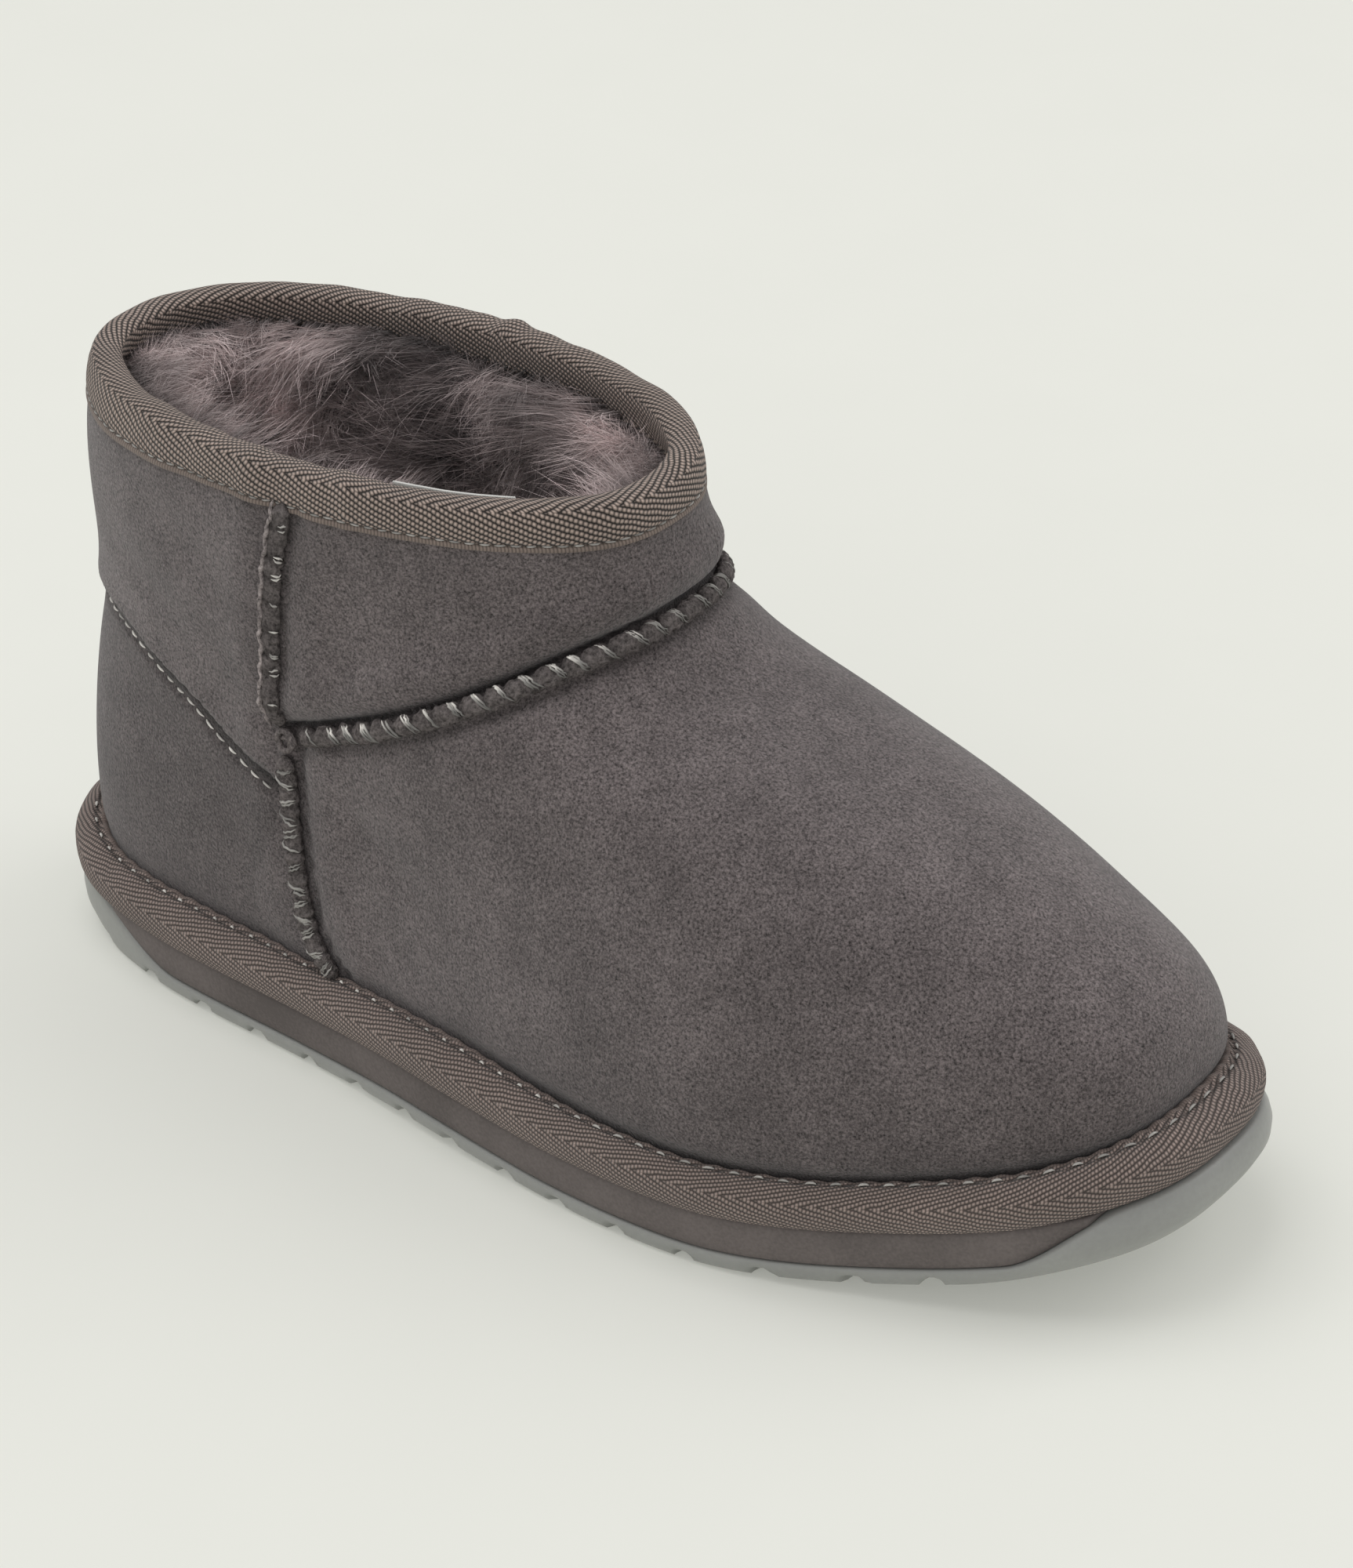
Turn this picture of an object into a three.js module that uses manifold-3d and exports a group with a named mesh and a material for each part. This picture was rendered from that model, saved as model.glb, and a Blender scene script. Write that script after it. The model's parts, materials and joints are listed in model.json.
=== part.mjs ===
// Ankle-high sheepskin boot for the right foot, standing empty on its sole.
// Millimetres, +Z up, +X towards the toe, +Y towards the inner side of the foot.
// While the pieces are made, X is 0 at the back of the heel and Z is 0 on the floor;
// the finished group is then moved so that the origin is at the middle of its footprint on the floor.
import * as THREE from "three";
import { mergeVertices } from "three/addons/utils/BufferGeometryUtils.js";
import Module from "manifold-3d";

const wasm = await Module();
wasm.setup();

// ---- Driving dimensions ----
const SOLE_LENGTH = 270;
const SOLE_THICKNESS = 12.5; // outsole and midsole together
const RUBBER_THICKNESS = 4; // outsole under the foot, lugs included
const TOE_SPRING = 17; // lift of the sole's tip
const HEEL_LIFT = 2.5; // lift of the sole's back edge
const ARCH_LIFT = 1.2; // lift of the waist between heel and forefoot
const TOE_SWING = 6.5; // how far the tip lies towards the inner side of the foot
const SKIN_WALL = 7.5; // sheepskin, hide and pressed fleece together
const COLLAR_WALL = 4.2; // the same sheepskin where the binding squeezes it
const GAP = 0.3; // clearance between pieces that are glued or sewn together
const BINDING_THICKNESS = 1.1;
const BINDING_OUTSIDE = 5.5; // how far the binding reaches down outside the collar
const BINDING_INSIDE = 10; // and inside it
const RAND_HEIGHT = 10.2;
const RAND_BULGE = 1.8; // how far the rand stands out past the midsole
const INSOLE_THICKNESS = 7;
const LUG_DEPTH = 2;
const LUG_PITCH = 15;
const GROOVE_WIDTH = 3.6;

const AROUND = 64; // facets round the boot
const END_ROUNDNESS = 0.8; // exponent that rounds the footprint's heel and toe

// Half widths of the sole at shares of its length, before its ends are rounded off,
// and how far inside that outline the upper's outer face stands at the seam with the sole.
const FOOTPRINT = [
  { share: 0.0, lateral: 54.0, medial: 55.0, seam: 5.0 },
  { share: 0.12, lateral: 46.5, medial: 47.5, seam: 5.0 },
  { share: 0.3, lateral: 42.0, medial: 38.5, seam: 5.0 },
  { share: 0.48, lateral: 48.0, medial: 38.0, seam: 4.0 },
  { share: 0.68, lateral: 54.5, medial: 49.5, seam: 1.0 },
  { share: 0.85, lateral: 52.5, medial: 53.5, seam: 0.5 },
  { share: 1.0, lateral: 58.0, medial: 60.0, seam: 2.0 },
];

// The upper's outer face is a stack of ovals, at levels from 0 at the sole to 1 at the collar.
// Side view of each oval: back and front are its ends, up and frontUp their heights,
// and spring is the share of the sole's toe spring that it follows.
const SIDE_VIEW = [
  { level: 0.0, back: 6, up: 12.8, front: 260.5, frontUp: 12.8, spring: 1 },
  { level: 0.1, back: 5, up: 22.5, front: 262, frontUp: 22.5, spring: 1 },
  { level: 0.22, back: 4, up: 38, front: 260, frontUp: 38, spring: 0.9 },
  { level: 0.35, back: 4, up: 53, front: 249, frontUp: 54.5, spring: 0.7 },
  { level: 0.48, back: 5, up: 66, front: 227, frontUp: 70.5, spring: 0.4 },
  { level: 0.6, back: 6.5, up: 78, front: 195, frontUp: 83.5, spring: 0.15 },
  { level: 0.72, back: 5.5, up: 90, front: 161, frontUp: 93.5, spring: 0 },
  { level: 0.82, back: 3, up: 103, front: 146.5, frontUp: 103.5, spring: 0 },
  { level: 0.92, back: 3.5, up: 119, front: 145, frontUp: 121, spring: 0 },
  { level: 1.0, back: 7, up: 130, front: 142, frontUp: 133, spring: 0 },
];

// Plan of each oval: how far it has turned from the sole's outline (0) to a plain oval (1)
// with the half widths lateral and medial. inset draws the sole's outline in, and end rounds the ends.
const PLAN = [
  { level: 0.0, oval: 0, inset: 1, lateral: 37, medial: 38, end: 0.78 },
  { level: 0.1, oval: 0, inset: 0, lateral: 37, medial: 38, end: 0.78 },
  { level: 0.22, oval: 0.06, inset: 0, lateral: 36.5, medial: 39, end: 0.78 },
  { level: 0.35, oval: 0.17, inset: 1.5, lateral: 36.5, medial: 40, end: 0.8 },
  { level: 0.48, oval: 0.38, inset: 3, lateral: 37, medial: 40, end: 0.8 },
  { level: 0.6, oval: 0.66, inset: 3, lateral: 37.5, medial: 39.5, end: 0.8 },
  { level: 0.72, oval: 0.9, inset: 1, lateral: 38, medial: 39, end: 0.82 },
  { level: 0.82, oval: 1, inset: 0, lateral: 38, medial: 38.5, end: 0.83 },
  { level: 0.92, oval: 1, inset: 0, lateral: 37, medial: 38, end: 0.84 },
  { level: 1.0, oval: 1, inset: 0, lateral: 35, medial: 36.6, end: 0.84 },
];
const COLLAR_SHIFT = 7; // the collar's middle lies this far towards the inner side

const mix = THREE.MathUtils.lerp;
const smoothstep = THREE.MathUtils.smoothstep;

// A smooth curve through one column of a table.
function column(table, along, key) {
  const curve = new THREE.CubicInterpolant(
    table.map((row) => row[along]),
    table.map((row) => row[key]),
    1,
    [0],
  );
  return (at) => curve.evaluate(at)[0];
}

const footprintLateral = column(FOOTPRINT, "share", "lateral");
const footprintMedial = column(FOOTPRINT, "share", "medial");
const seamInset = column(FOOTPRINT, "share", "seam");
const columns = (table) => Object.keys(table[0]).map((key) => [key, column(table, "level", key)]);
const section = Object.fromEntries([...columns(SIDE_VIEW), ...columns(PLAN)]);

// Lift of the sole above the floor: the toe springs up, the back of the heel is rounded and the waist arches.
function soleLift(x) {
  const toe = THREE.MathUtils.clamp((x / SOLE_LENGTH - 0.66) / 0.34, 0, 1.1);
  const heel = THREE.MathUtils.clamp(1 - x / 22, 0, 1.1);
  const arch = smoothstep(x, 80, 112) * (1 - smoothstep(x, 118, 150));
  return TOE_SPRING * toe ** 1.9 + HEEL_LIFT * heel ** 2 + ARCH_LIFT * arch;
}

// Angles round the boot, from the back of the heel by the outer side to the toe and back by the inner side.
// They lie closer together at the heel and toe, and angle i and angle AROUND - i face each other.
const ANGLES = Array.from({ length: AROUND }, (_, i) => {
  const even = (2 * Math.PI * i) / AROUND;
  return even - 0.22 * Math.sin(2 * even);
});

// One point of an oval plan: share along its length, and the sine that closes its ends.
function aroundPlan(angle) {
  return {
    share: (1 - Math.cos(angle)) / 2,
    side: Math.sin(angle) >= 0 ? "lateral" : "medial",
    closing: Math.abs(Math.sin(angle)),
  };
}

// The sole's outline at a height over its own lifted bottom, moved outwards by a distance.
function soleRing(height, outward) {
  const ring = ANGLES.map((angle) => {
    const { share, side, closing } = aroundPlan(angle);
    const half = side === "lateral" ? -footprintLateral(share) : footprintMedial(share);
    const x = share * SOLE_LENGTH;
    return new THREE.Vector3(x, TOE_SWING * share ** 2 + half * closing ** END_ROUNDNESS, 0);
  });
  return offsetRing(ring, outward).map((p) => p.setZ(height + soleLift(p.x)));
}

// A ring moved outwards in plan, along its own normals. outward is a distance, or a function of the point.
function offsetRing(ring, outward) {
  return ring.map((point, i) => {
    const next = ring[(i + 1) % ring.length];
    const last = ring[(i + ring.length - 1) % ring.length];
    const normal = new THREE.Vector2(next.y - last.y, last.x - next.x).normalize();
    const distance = typeof outward === "function" ? outward(point) : outward;
    return new THREE.Vector3(point.x + normal.x * distance, point.y + normal.y * distance, point.z);
  });
}

// One section of the upper's outer face at a level from 0 at the sole to 1 at the collar.
function upperRing(level) {
  const at = Object.fromEntries(Object.entries(section).map(([key, curve]) => [key, curve(level)]));
  return ANGLES.map((angle) => {
    const { share, side, closing } = aroundPlan(angle);
    const x = mix(at.back, at.front, share);
    const along = x / SOLE_LENGTH;
    const sole = side === "lateral" ? footprintLateral(along) : footprintMedial(along);
    const drawnIn = sole - seamInset(along) - at.inset;
    const half = mix(drawnIn, at[side], at.oval) * closing ** at.end;
    const middle = mix(TOE_SWING * along ** 2, COLLAR_SHIFT, at.oval);
    const z = mix(at.up, at.frontUp, share) + at.spring * soleLift(x);
    return new THREE.Vector3(x, middle + (side === "lateral" ? -half : half), z);
  });
}

// The same sections set in by the wall's thickness, square to the outer face.
function innerRing(level, thickness) {
  const step = 0.01;
  const here = upperRing(level);
  const above = upperRing(Math.min(level + step, 1));
  const below = upperRing(Math.max(level - step, 0));
  return here.map((point, i) => {
    const next = here[(i + 1) % AROUND];
    const last = here[(i + AROUND - 1) % AROUND];
    const along = new THREE.Vector3().subVectors(next, last);
    const up = new THREE.Vector3().subVectors(above[i], below[i]);
    const outward = along.cross(up).normalize();
    return point.clone().addScaledVector(outward, -thickness);
  });
}

// ---- Meshes from rings ----

// Faces between neighbouring rings, which run anticlockwise seen from above and rise in order.
function ringFaces(count, closed) {
  const faces = [];
  const last = closed ? count : count - 1;
  for (let j = 0; j < last; j++) {
    const low = j * AROUND;
    const high = ((j + 1) % count) * AROUND;
    for (let i = 0; i < AROUND; i++) {
      const k = (i + 1) % AROUND;
      faces.push(low + i, low + k, high + k, low + i, high + k, high + i);
    }
  }
  return faces;
}

// A face across a ring, in strips from the outer side to the inner side so that it follows the toe spring.
function capFaces(start, facingUp) {
  const faces = [];
  const half = AROUND / 2;
  for (let i = 0; i < half; i++) {
    const [a, b] = [start + i, start + i + 1];
    const [c, d] = [start + ((AROUND - i - 1) % AROUND), start + ((AROUND - i) % AROUND)];
    const strip = [];
    if (i < half - 1) strip.push([a, b, c]);
    if (i > 0) strip.push([a, c, d]);
    for (const [p, q, r] of strip) faces.push(...(facingUp ? [p, q, r] : [p, r, q]));
  }
  return faces;
}

function geometryOf(rings, faces) {
  const geometry = new THREE.BufferGeometry();
  const positions = rings.flat().flatMap((p) => p.toArray());
  geometry.setAttribute("position", new THREE.Float32BufferAttribute(positions, 3));
  geometry.setIndex(faces);
  return geometry;
}

// A closed band whose profile is the rings in order and back to the first.
const bandGeometry = (rings) => geometryOf(rings, ringFaces(rings.length, true));

// A solid stack of rings, closed at its bottom and top.
function stackGeometry(rings) {
  const top = (rings.length - 1) * AROUND;
  const caps = [...capFaces(0, false), ...capFaces(top, true)];
  return geometryOf(rings, [...ringFaces(rings.length, false), ...caps]);
}

// ---- Solids for cutting and joining ----
function solidOf(geometry) {
  const bare = geometry.clone();
  bare.deleteAttribute("normal");
  bare.deleteAttribute("uv");
  const merged = mergeVertices(bare, 1e-4);
  return new wasm.Manifold(
    new wasm.Mesh({
      numProp: 3,
      vertProperties: merged.attributes.position.array,
      triVerts: new Uint32Array(merged.index.array),
    }),
  );
}

function geometryFrom(solid) {
  const mesh = solid.getMesh();
  const geometry = new THREE.BufferGeometry();
  geometry.setAttribute("position", new THREE.BufferAttribute(new Float32Array(mesh.vertProperties), 3));
  geometry.setIndex(new THREE.BufferAttribute(new Uint32Array(mesh.triVerts), 1));
  return geometry;
}

// ---- Materials ----
const suede = new THREE.MeshStandardMaterial({ color: 0x5c5756, roughness: 0.95 });
const tape = new THREE.MeshStandardMaterial({ color: 0x6a625e, roughness: 0.85 });
const foam = new THREE.MeshStandardMaterial({ color: 0x615b59, roughness: 0.8 });
const rubber = new THREE.MeshStandardMaterial({ color: 0x9b9c97, roughness: 0.4 });
const fleece = new THREE.MeshStandardMaterial({ color: 0x6f6664, roughness: 1 });

// ---- Sole ----

// Both layers of the sole as one block, drawn in towards the floor, most of all under the toe and heel.
// The rubber wrapped round those ends stands out a little at mid height.
function soleBlock() {
  const toeEnd = (p) => smoothstep(p.x, 235, 262);
  const heelEnd = (p) => 1 - smoothstep(p.x, 3, 22);
  return stackGeometry([
    soleRing(0, (p) => -1.2 - 2.2 * toeEnd(p) - 3 * heelEnd(p)),
    soleRing(5, (p) => -0.4 + 1.9 * toeEnd(p) + 0.3 * heelEnd(p)),
    soleRing(SOLE_THICKNESS, 0),
  ]);
}

// Height of the outsole's upper face over the sole's bottom: low along the foot, and up to the rand
// at the toe and heel, where the rubber wraps the midsole's ends.
function rubberHeight(x) {
  const toe = smoothstep(x, 243, 263);
  const heel = 1 - smoothstep(x, 13, 42);
  return mix(RUBBER_THICKNESS, SOLE_THICKNESS + 1, Math.max(toe, heel));
}

// Everything over the rubber, as wide as the sole: its side view is drawn in X and Z and extruded across.
function overRubber(lift) {
  const profile = new THREE.Shape();
  const steps = 48;
  const beyond = 10; // how far the side view runs past the sole's ends
  for (let i = 0; i <= steps; i++) {
    const x = mix(-beyond, SOLE_LENGTH + beyond, i / steps);
    const z = rubberHeight(x) + soleLift(x) + lift;
    if (i === 0) profile.moveTo(x, z);
    else profile.lineTo(x, z);
  }
  const over = 80;
  profile.lineTo(SOLE_LENGTH + beyond, over);
  profile.lineTo(-beyond, over);
  const across = 160;
  const geometry = new THREE.ExtrudeGeometry(profile, { depth: across, bevelEnabled: false, steps: 1 });
  geometry.rotateX(Math.PI / 2);
  geometry.translate(0, across / 2, 0);
  return solidOf(geometry);
}

// One zigzag groove across the tread, to be cut out of the outsole.
function treadGroove(x) {
  const legs = 8; // straight runs of the zigzag
  const swing = 3.2; // how far it swings to either side
  const width = 120; // wider than the sole
  const below = 6; // how far the cut starts under the sole
  const wave = Array.from({ length: legs + 1 }, (_, i) => {
    const y = mix(-width / 2, width / 2, i / legs);
    return new THREE.Vector2(x + (i % 2 ? swing : -swing), y);
  });
  const outline = [
    ...wave.map((p) => new THREE.Vector2(p.x + GROOVE_WIDTH / 2, p.y)),
    ...wave.map((p) => new THREE.Vector2(p.x - GROOVE_WIDTH / 2, p.y)).reverse(),
  ];
  const geometry = new THREE.ExtrudeGeometry(new THREE.Shape(outline), {
    depth: LUG_DEPTH + below,
    bevelEnabled: false,
    steps: 1,
  });
  geometry.translate(0, 0, soleLift(x) - below);
  return solidOf(geometry);
}

function soleGeometries() {
  const block = solidOf(soleBlock());
  let outsole = block.subtract(overRubber(0));
  for (let x = 18; x < SOLE_LENGTH - 14; x += LUG_PITCH) outsole = outsole.subtract(treadGroove(x));
  return { outsole: geometryFrom(outsole), midsole: geometryFrom(block.intersect(overRubber(GAP))) };
}

// ---- Upper ----
const OUTER_LEVELS = 19;
const INNER_LEVELS = 15;

// The wall is thinner where the binding squeezes it.
const wallAt = (level) => mix(SKIN_WALL, COLLAR_WALL, smoothstep(level, 0.84, 0.93));

function upperGeometry() {
  const outer = Array.from({ length: OUTER_LEVELS }, (_, j) => upperRing(j / (OUTER_LEVELS - 1)));
  const inner = Array.from({ length: INNER_LEVELS }, (_, j) => {
    const level = 1 - j / (INNER_LEVELS - 1);
    return innerRing(level, wallAt(level));
  });
  const rim = outer[OUTER_LEVELS - 1];
  const foot = outer[0];
  inner[0].forEach((p, i) => p.setZ(rim[i].z));
  inner[INNER_LEVELS - 1].forEach((p, i) => p.setZ(foot[i].z));
  return bandGeometry([...outer, ...inner]);
}

// ---- Collar binding: a tape folded over the rim ----
function bindingGeometry() {
  const levelAt = (depth) => 1 - (0.08 * depth) / (section.up(1) - section.up(0.92));
  const outsideLevel = levelAt(BINDING_OUTSIDE);
  const insideLevel = levelAt(BINDING_INSIDE);
  const near = GAP;
  const far = GAP + BINDING_THICKNESS;
  const levelsDown = (from, to) => Array.from({ length: 4 }, (_, j) => mix(from, to, j / 3));
  const face = (level, outward) => innerRing(level, -outward);
  const inside = (level, inward) => innerRing(level, wallAt(level) + inward);
  const rim = upperRing(1);
  const flat = (ring, over) => ring.map((p, i) => p.setZ(rim[i].z + over));
  const middle = (over) => flat(innerRing(1, COLLAR_WALL / 2), over);
  return bandGeometry([
    ...levelsDown(outsideLevel, 0.99).map((level) => face(level, far)),
    flat(face(1, far * 0.75), far * 0.7),
    middle(far),
    flat(inside(1, far * 0.75), far * 0.7),
    ...levelsDown(0.99, insideLevel).map((level) => inside(level, far)),
    ...levelsDown(insideLevel, 0.99).map((level) => inside(level, near)),
    flat(inside(1, near), near),
    flat(face(1, near), near),
    ...levelsDown(0.99, outsideLevel).map((level) => face(level, near)),
  ]);
}

// ---- Rand: a soft taped roll that hides the seam between upper and midsole ----
// Profile points: out is the distance from the sole's outline, up the height over the midsole.
const RAND_PROFILE = [
  { out: 0.3, up: 0.3 },
  { out: 1.4, up: 1.8 },
  { out: RAND_BULGE, up: 4.2 },
  { out: 1.3, up: 7.0 },
  { out: 0.3, up: 9.2 },
  { out: -0.6, up: RAND_HEIGHT },
];

function randGeometry() {
  const flush = (p) => 1.6 * smoothstep(p.x, 240, 265); // it stands out less where the rubber wraps the toe
  const outside = RAND_PROFILE.map(({ out, up }) => soleRing(SOLE_THICKNESS + up, (p) => out - flush(p)));
  const levels = [0.105, 0.08, 0.05, 0.02, 0];
  const inside = levels.map((level) => offsetRing(upperRing(level), GAP));
  return bandGeometry([...outside, ...inside]);
}

// ---- Insole: a fleece-faced bed inside the upper ----
function insoleGeometry() {
  const clear = SKIN_WALL + 2 * GAP;
  const bottom = offsetRing(upperRing(0), -clear);
  const top = offsetRing(innerRing(0.05, SKIN_WALL), -2 * GAP);
  const lifted = (ring, over) => ring.map((p) => p.setZ(SOLE_THICKNESS + over + soleLift(p.x)));
  return stackGeometry([lifted(bottom, GAP), lifted(top, GAP + INSOLE_THICKNESS)]);
}

// ---- The boot ----
const boot = new THREE.Group();
boot.name = "boot";

function addPiece(name, geometry, material) {
  const mesh = new THREE.Mesh(geometry, material);
  mesh.name = name;
  boot.add(mesh);
}

const { outsole, midsole } = soleGeometries();
addPiece("outsole", outsole, rubber);
addPiece("midsole", midsole, foam);
addPiece("rand", randGeometry(), tape);
addPiece("upper", upperGeometry(), suede);
addPiece("collar_binding", bindingGeometry(), tape);
addPiece("insole", insoleGeometry(), fleece);

const box = new THREE.Box3().setFromObject(boot, true);
const centre = box.getCenter(new THREE.Vector3());
boot.position.set(-centre.x, -centre.y, -box.min.z);

export default boot;
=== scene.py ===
import json
import math

import bmesh
import bpy
import numpy as np
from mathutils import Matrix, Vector
from mathutils.bvhtree import BVHTree
from mathutils.kdtree import KDTree
from mathutils import noise as rough_noise

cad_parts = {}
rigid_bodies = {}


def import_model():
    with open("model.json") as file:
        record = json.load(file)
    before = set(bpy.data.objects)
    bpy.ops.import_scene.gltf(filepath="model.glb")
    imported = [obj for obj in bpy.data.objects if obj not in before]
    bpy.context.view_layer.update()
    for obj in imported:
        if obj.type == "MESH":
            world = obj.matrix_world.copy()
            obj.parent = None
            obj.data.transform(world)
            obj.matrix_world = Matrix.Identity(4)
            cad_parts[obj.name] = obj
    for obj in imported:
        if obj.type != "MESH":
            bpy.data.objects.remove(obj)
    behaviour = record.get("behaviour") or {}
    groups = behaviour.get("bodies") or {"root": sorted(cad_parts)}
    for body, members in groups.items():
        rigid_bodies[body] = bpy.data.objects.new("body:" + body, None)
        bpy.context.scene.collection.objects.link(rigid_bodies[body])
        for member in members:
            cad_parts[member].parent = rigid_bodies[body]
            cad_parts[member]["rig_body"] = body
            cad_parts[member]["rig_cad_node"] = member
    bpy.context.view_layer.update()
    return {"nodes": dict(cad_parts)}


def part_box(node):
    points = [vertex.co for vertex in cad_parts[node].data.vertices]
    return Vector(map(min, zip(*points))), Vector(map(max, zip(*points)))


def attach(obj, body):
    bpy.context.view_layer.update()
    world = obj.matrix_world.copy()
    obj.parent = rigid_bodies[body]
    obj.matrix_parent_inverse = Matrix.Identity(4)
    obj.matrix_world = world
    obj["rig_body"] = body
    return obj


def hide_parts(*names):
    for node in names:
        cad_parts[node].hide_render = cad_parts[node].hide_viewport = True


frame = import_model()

MM = 0.001

# ---- Studio ----
# The boot stands by itself on a plain pale floor, seen from in front of its outer side and from above.
# A pale sky and large soft lamps light it, so that its shadows are short and soft.
CAMERA_AZIMUTH = math.radians(36.95)
CAMERA_ELEVATION = math.radians(32.4)
CAMERA_ROLL = math.radians(-1.77)
CAMERA_DISTANCE = 1.069
AIM = Vector((0.0068, 0.0072, 0.0647))
LENS = 125
FLOOR_COLOUR = (0.62, 0.625, 0.585, 1)
FLOOR_GLOW = (0.80, 0.81, 0.75, 1)
GLOW_STRENGTH = 0.27
SKY_COLOUR = (1.0, 0.99, 0.975, 1)
SKY_STRENGTH = 0.5

away = Vector(
    (
        math.sin(CAMERA_AZIMUTH) * math.cos(CAMERA_ELEVATION),
        -math.cos(CAMERA_AZIMUTH) * math.cos(CAMERA_ELEVATION),
        math.sin(CAMERA_ELEVATION),
    )
)
camera_data = bpy.data.cameras.new("camera")
camera_data.lens = LENS
camera_data.clip_start = 0.05
camera = bpy.data.objects.new("camera", camera_data)
bpy.context.scene.collection.objects.link(camera)
camera.location = AIM + away * CAMERA_DISTANCE
camera.rotation_euler = away.to_track_quat("Z", "Y").to_euler()
camera.rotation_euler.rotate_axis("Z", CAMERA_ROLL)
bpy.context.scene.camera = camera
bpy.context.scene.view_settings.view_transform = "Standard"


def node(tree, kind, inputs=None, **settings):
    """A shader node with its settings, and its inputs given as values or as sockets to link."""
    made = tree.nodes.new(kind)
    for key, value in settings.items():
        setattr(made, key, value)
    for key, value in (inputs or {}).items():
        if isinstance(value, bpy.types.NodeSocket):
            tree.links.new(value, made.inputs[key])
        else:
            made.inputs[key].default_value = value
    return made


def maths(tree, operation, first, second=0.0):
    """One arithmetic step, as the socket that holds its result."""
    return node(tree, "ShaderNodeMath", {0: first, 1: second}, operation=operation).outputs[0]


def spread(tree, value, low, high, to_low, to_high):
    """A value's range low to high moved to another range, without going past its ends."""
    ranges = {"Value": value, "From Min": low, "From Max": high, "To Min": to_low, "To Max": to_high}
    return node(tree, "ShaderNodeMapRange", ranges).outputs[0]


def new_material(name, **constants):
    """An empty material with its shader's plain values set on the shader itself."""
    made = bpy.data.materials.new(name)
    made.use_nodes = True
    tree = made.node_tree
    shader = tree.nodes["Principled BSDF"]
    for key, value in constants.items():
        shader.inputs[key.replace("_", " ")].default_value = value
    return made, tree, shader


def linear(red, green, blue):
    """A colour given as it is seen, from 0 to 255, in the shader's own units."""
    return [((c / 255 + 0.055) / 1.055) ** 2.4 for c in (red, green, blue)] + [1.0]


def coloured(tree, shader, colour, tone):
    """Gives a shader its base colour, made lighter or darker by a tone around 1."""
    grey = node(tree, "ShaderNodeCombineColor", {"Red": tone, "Green": tone, "Blue": tone})
    mixed = node(tree, "ShaderNodeMix", data_type="RGBA", blend_type="MULTIPLY")
    mixed.inputs["Factor"].default_value = 1.0
    mixed.inputs[6].default_value = colour
    tree.links.new(grey.outputs[0], mixed.inputs[7])
    tree.links.new(mixed.outputs[2], shader.inputs["Base Color"])


def raised(tree, shader, height, strength, distance):
    """Fine relief from a height, over any relief that the shader already has."""
    inputs = {"Height": height, "Strength": strength, "Distance": distance}
    normal = shader.inputs["Normal"]
    if normal.is_linked:
        inputs["Normal"] = normal.links[0].from_socket
    tree.links.new(node(tree, "ShaderNodeBump", inputs).outputs[0], normal)


def on_piece(tree):
    """Places on the piece itself, in metres, so that a pattern stays where it is."""
    return node(tree, "ShaderNodeTexCoord").outputs["Object"]


def painted_tone(tree, name):
    """The number that was written on each point of a piece under this name."""
    return node(tree, "ShaderNodeAttribute", attribute_name=name).outputs["Fac"]


def noise(tree, place, scale, detail=2.0, roughness=0.5):
    """Cloudy noise from 0 to 1 with a given number of clouds in a metre."""
    values = {"Vector": place, "Scale": scale, "Detail": detail, "Roughness": roughness}
    return node(tree, "ShaderNodeTexNoise", values).outputs[0]


def clouded(tree, tone, place, scale, low, high, detail=2.0, roughness=0.5):
    """A tone made uneven by cloudy noise that multiplies it by low to high."""
    clouds = spread(tree, noise(tree, place, scale, detail, roughness), 0.3, 0.7, low, high)
    return maths(tree, "MULTIPLY", tone, clouds)


bpy.ops.object.select_all(action="DESELECT")
bpy.ops.mesh.primitive_plane_add(size=8)
floor = bpy.context.active_object
floor.name = "floor"
paper, tree, shader = new_material("studio_paper", Roughness=0.9, Specular_IOR_Level=0.1)
mottle = spread(tree, noise(tree, on_piece(tree), 30), 0.3, 0.7, 0.995, 1.005)
coloured(tree, shader, FLOOR_COLOUR, mottle)
shader.inputs["Emission Color"].default_value = FLOOR_GLOW
shader.inputs["Emission Strength"].default_value = GLOW_STRENGTH
floor.data.materials.append(paper)

world = bpy.data.worlds.new("studio_sky")
world.use_nodes = True
sky = world.node_tree.nodes["Background"]
sky.inputs["Color"].default_value = SKY_COLOUR
sky.inputs["Strength"].default_value = SKY_STRENGTH
bpy.context.scene.world = world

LAMPS = [
    {"name": "key", "place": (-0.5, -0.2, 1.6), "size": 1.5, "watts": 11.5},
    {"name": "back", "place": (0.9, 1.1, 1.2), "size": 1.3, "watts": 8},
    {"name": "front", "place": (0.3, -1.6, 0.8), "size": 1.2, "watts": 3},
]
for lamp in LAMPS:
    light = bpy.data.lights.new(lamp["name"], "AREA")
    light.size = lamp["size"]
    light.energy = lamp["watts"]
    holder = bpy.data.objects.new(lamp["name"], light)
    holder.location = lamp["place"]
    holder.rotation_euler = (Vector(lamp["place"]) - AIM).to_track_quat("Z", "Y").to_euler()
    bpy.context.scene.collection.objects.link(holder)


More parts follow.
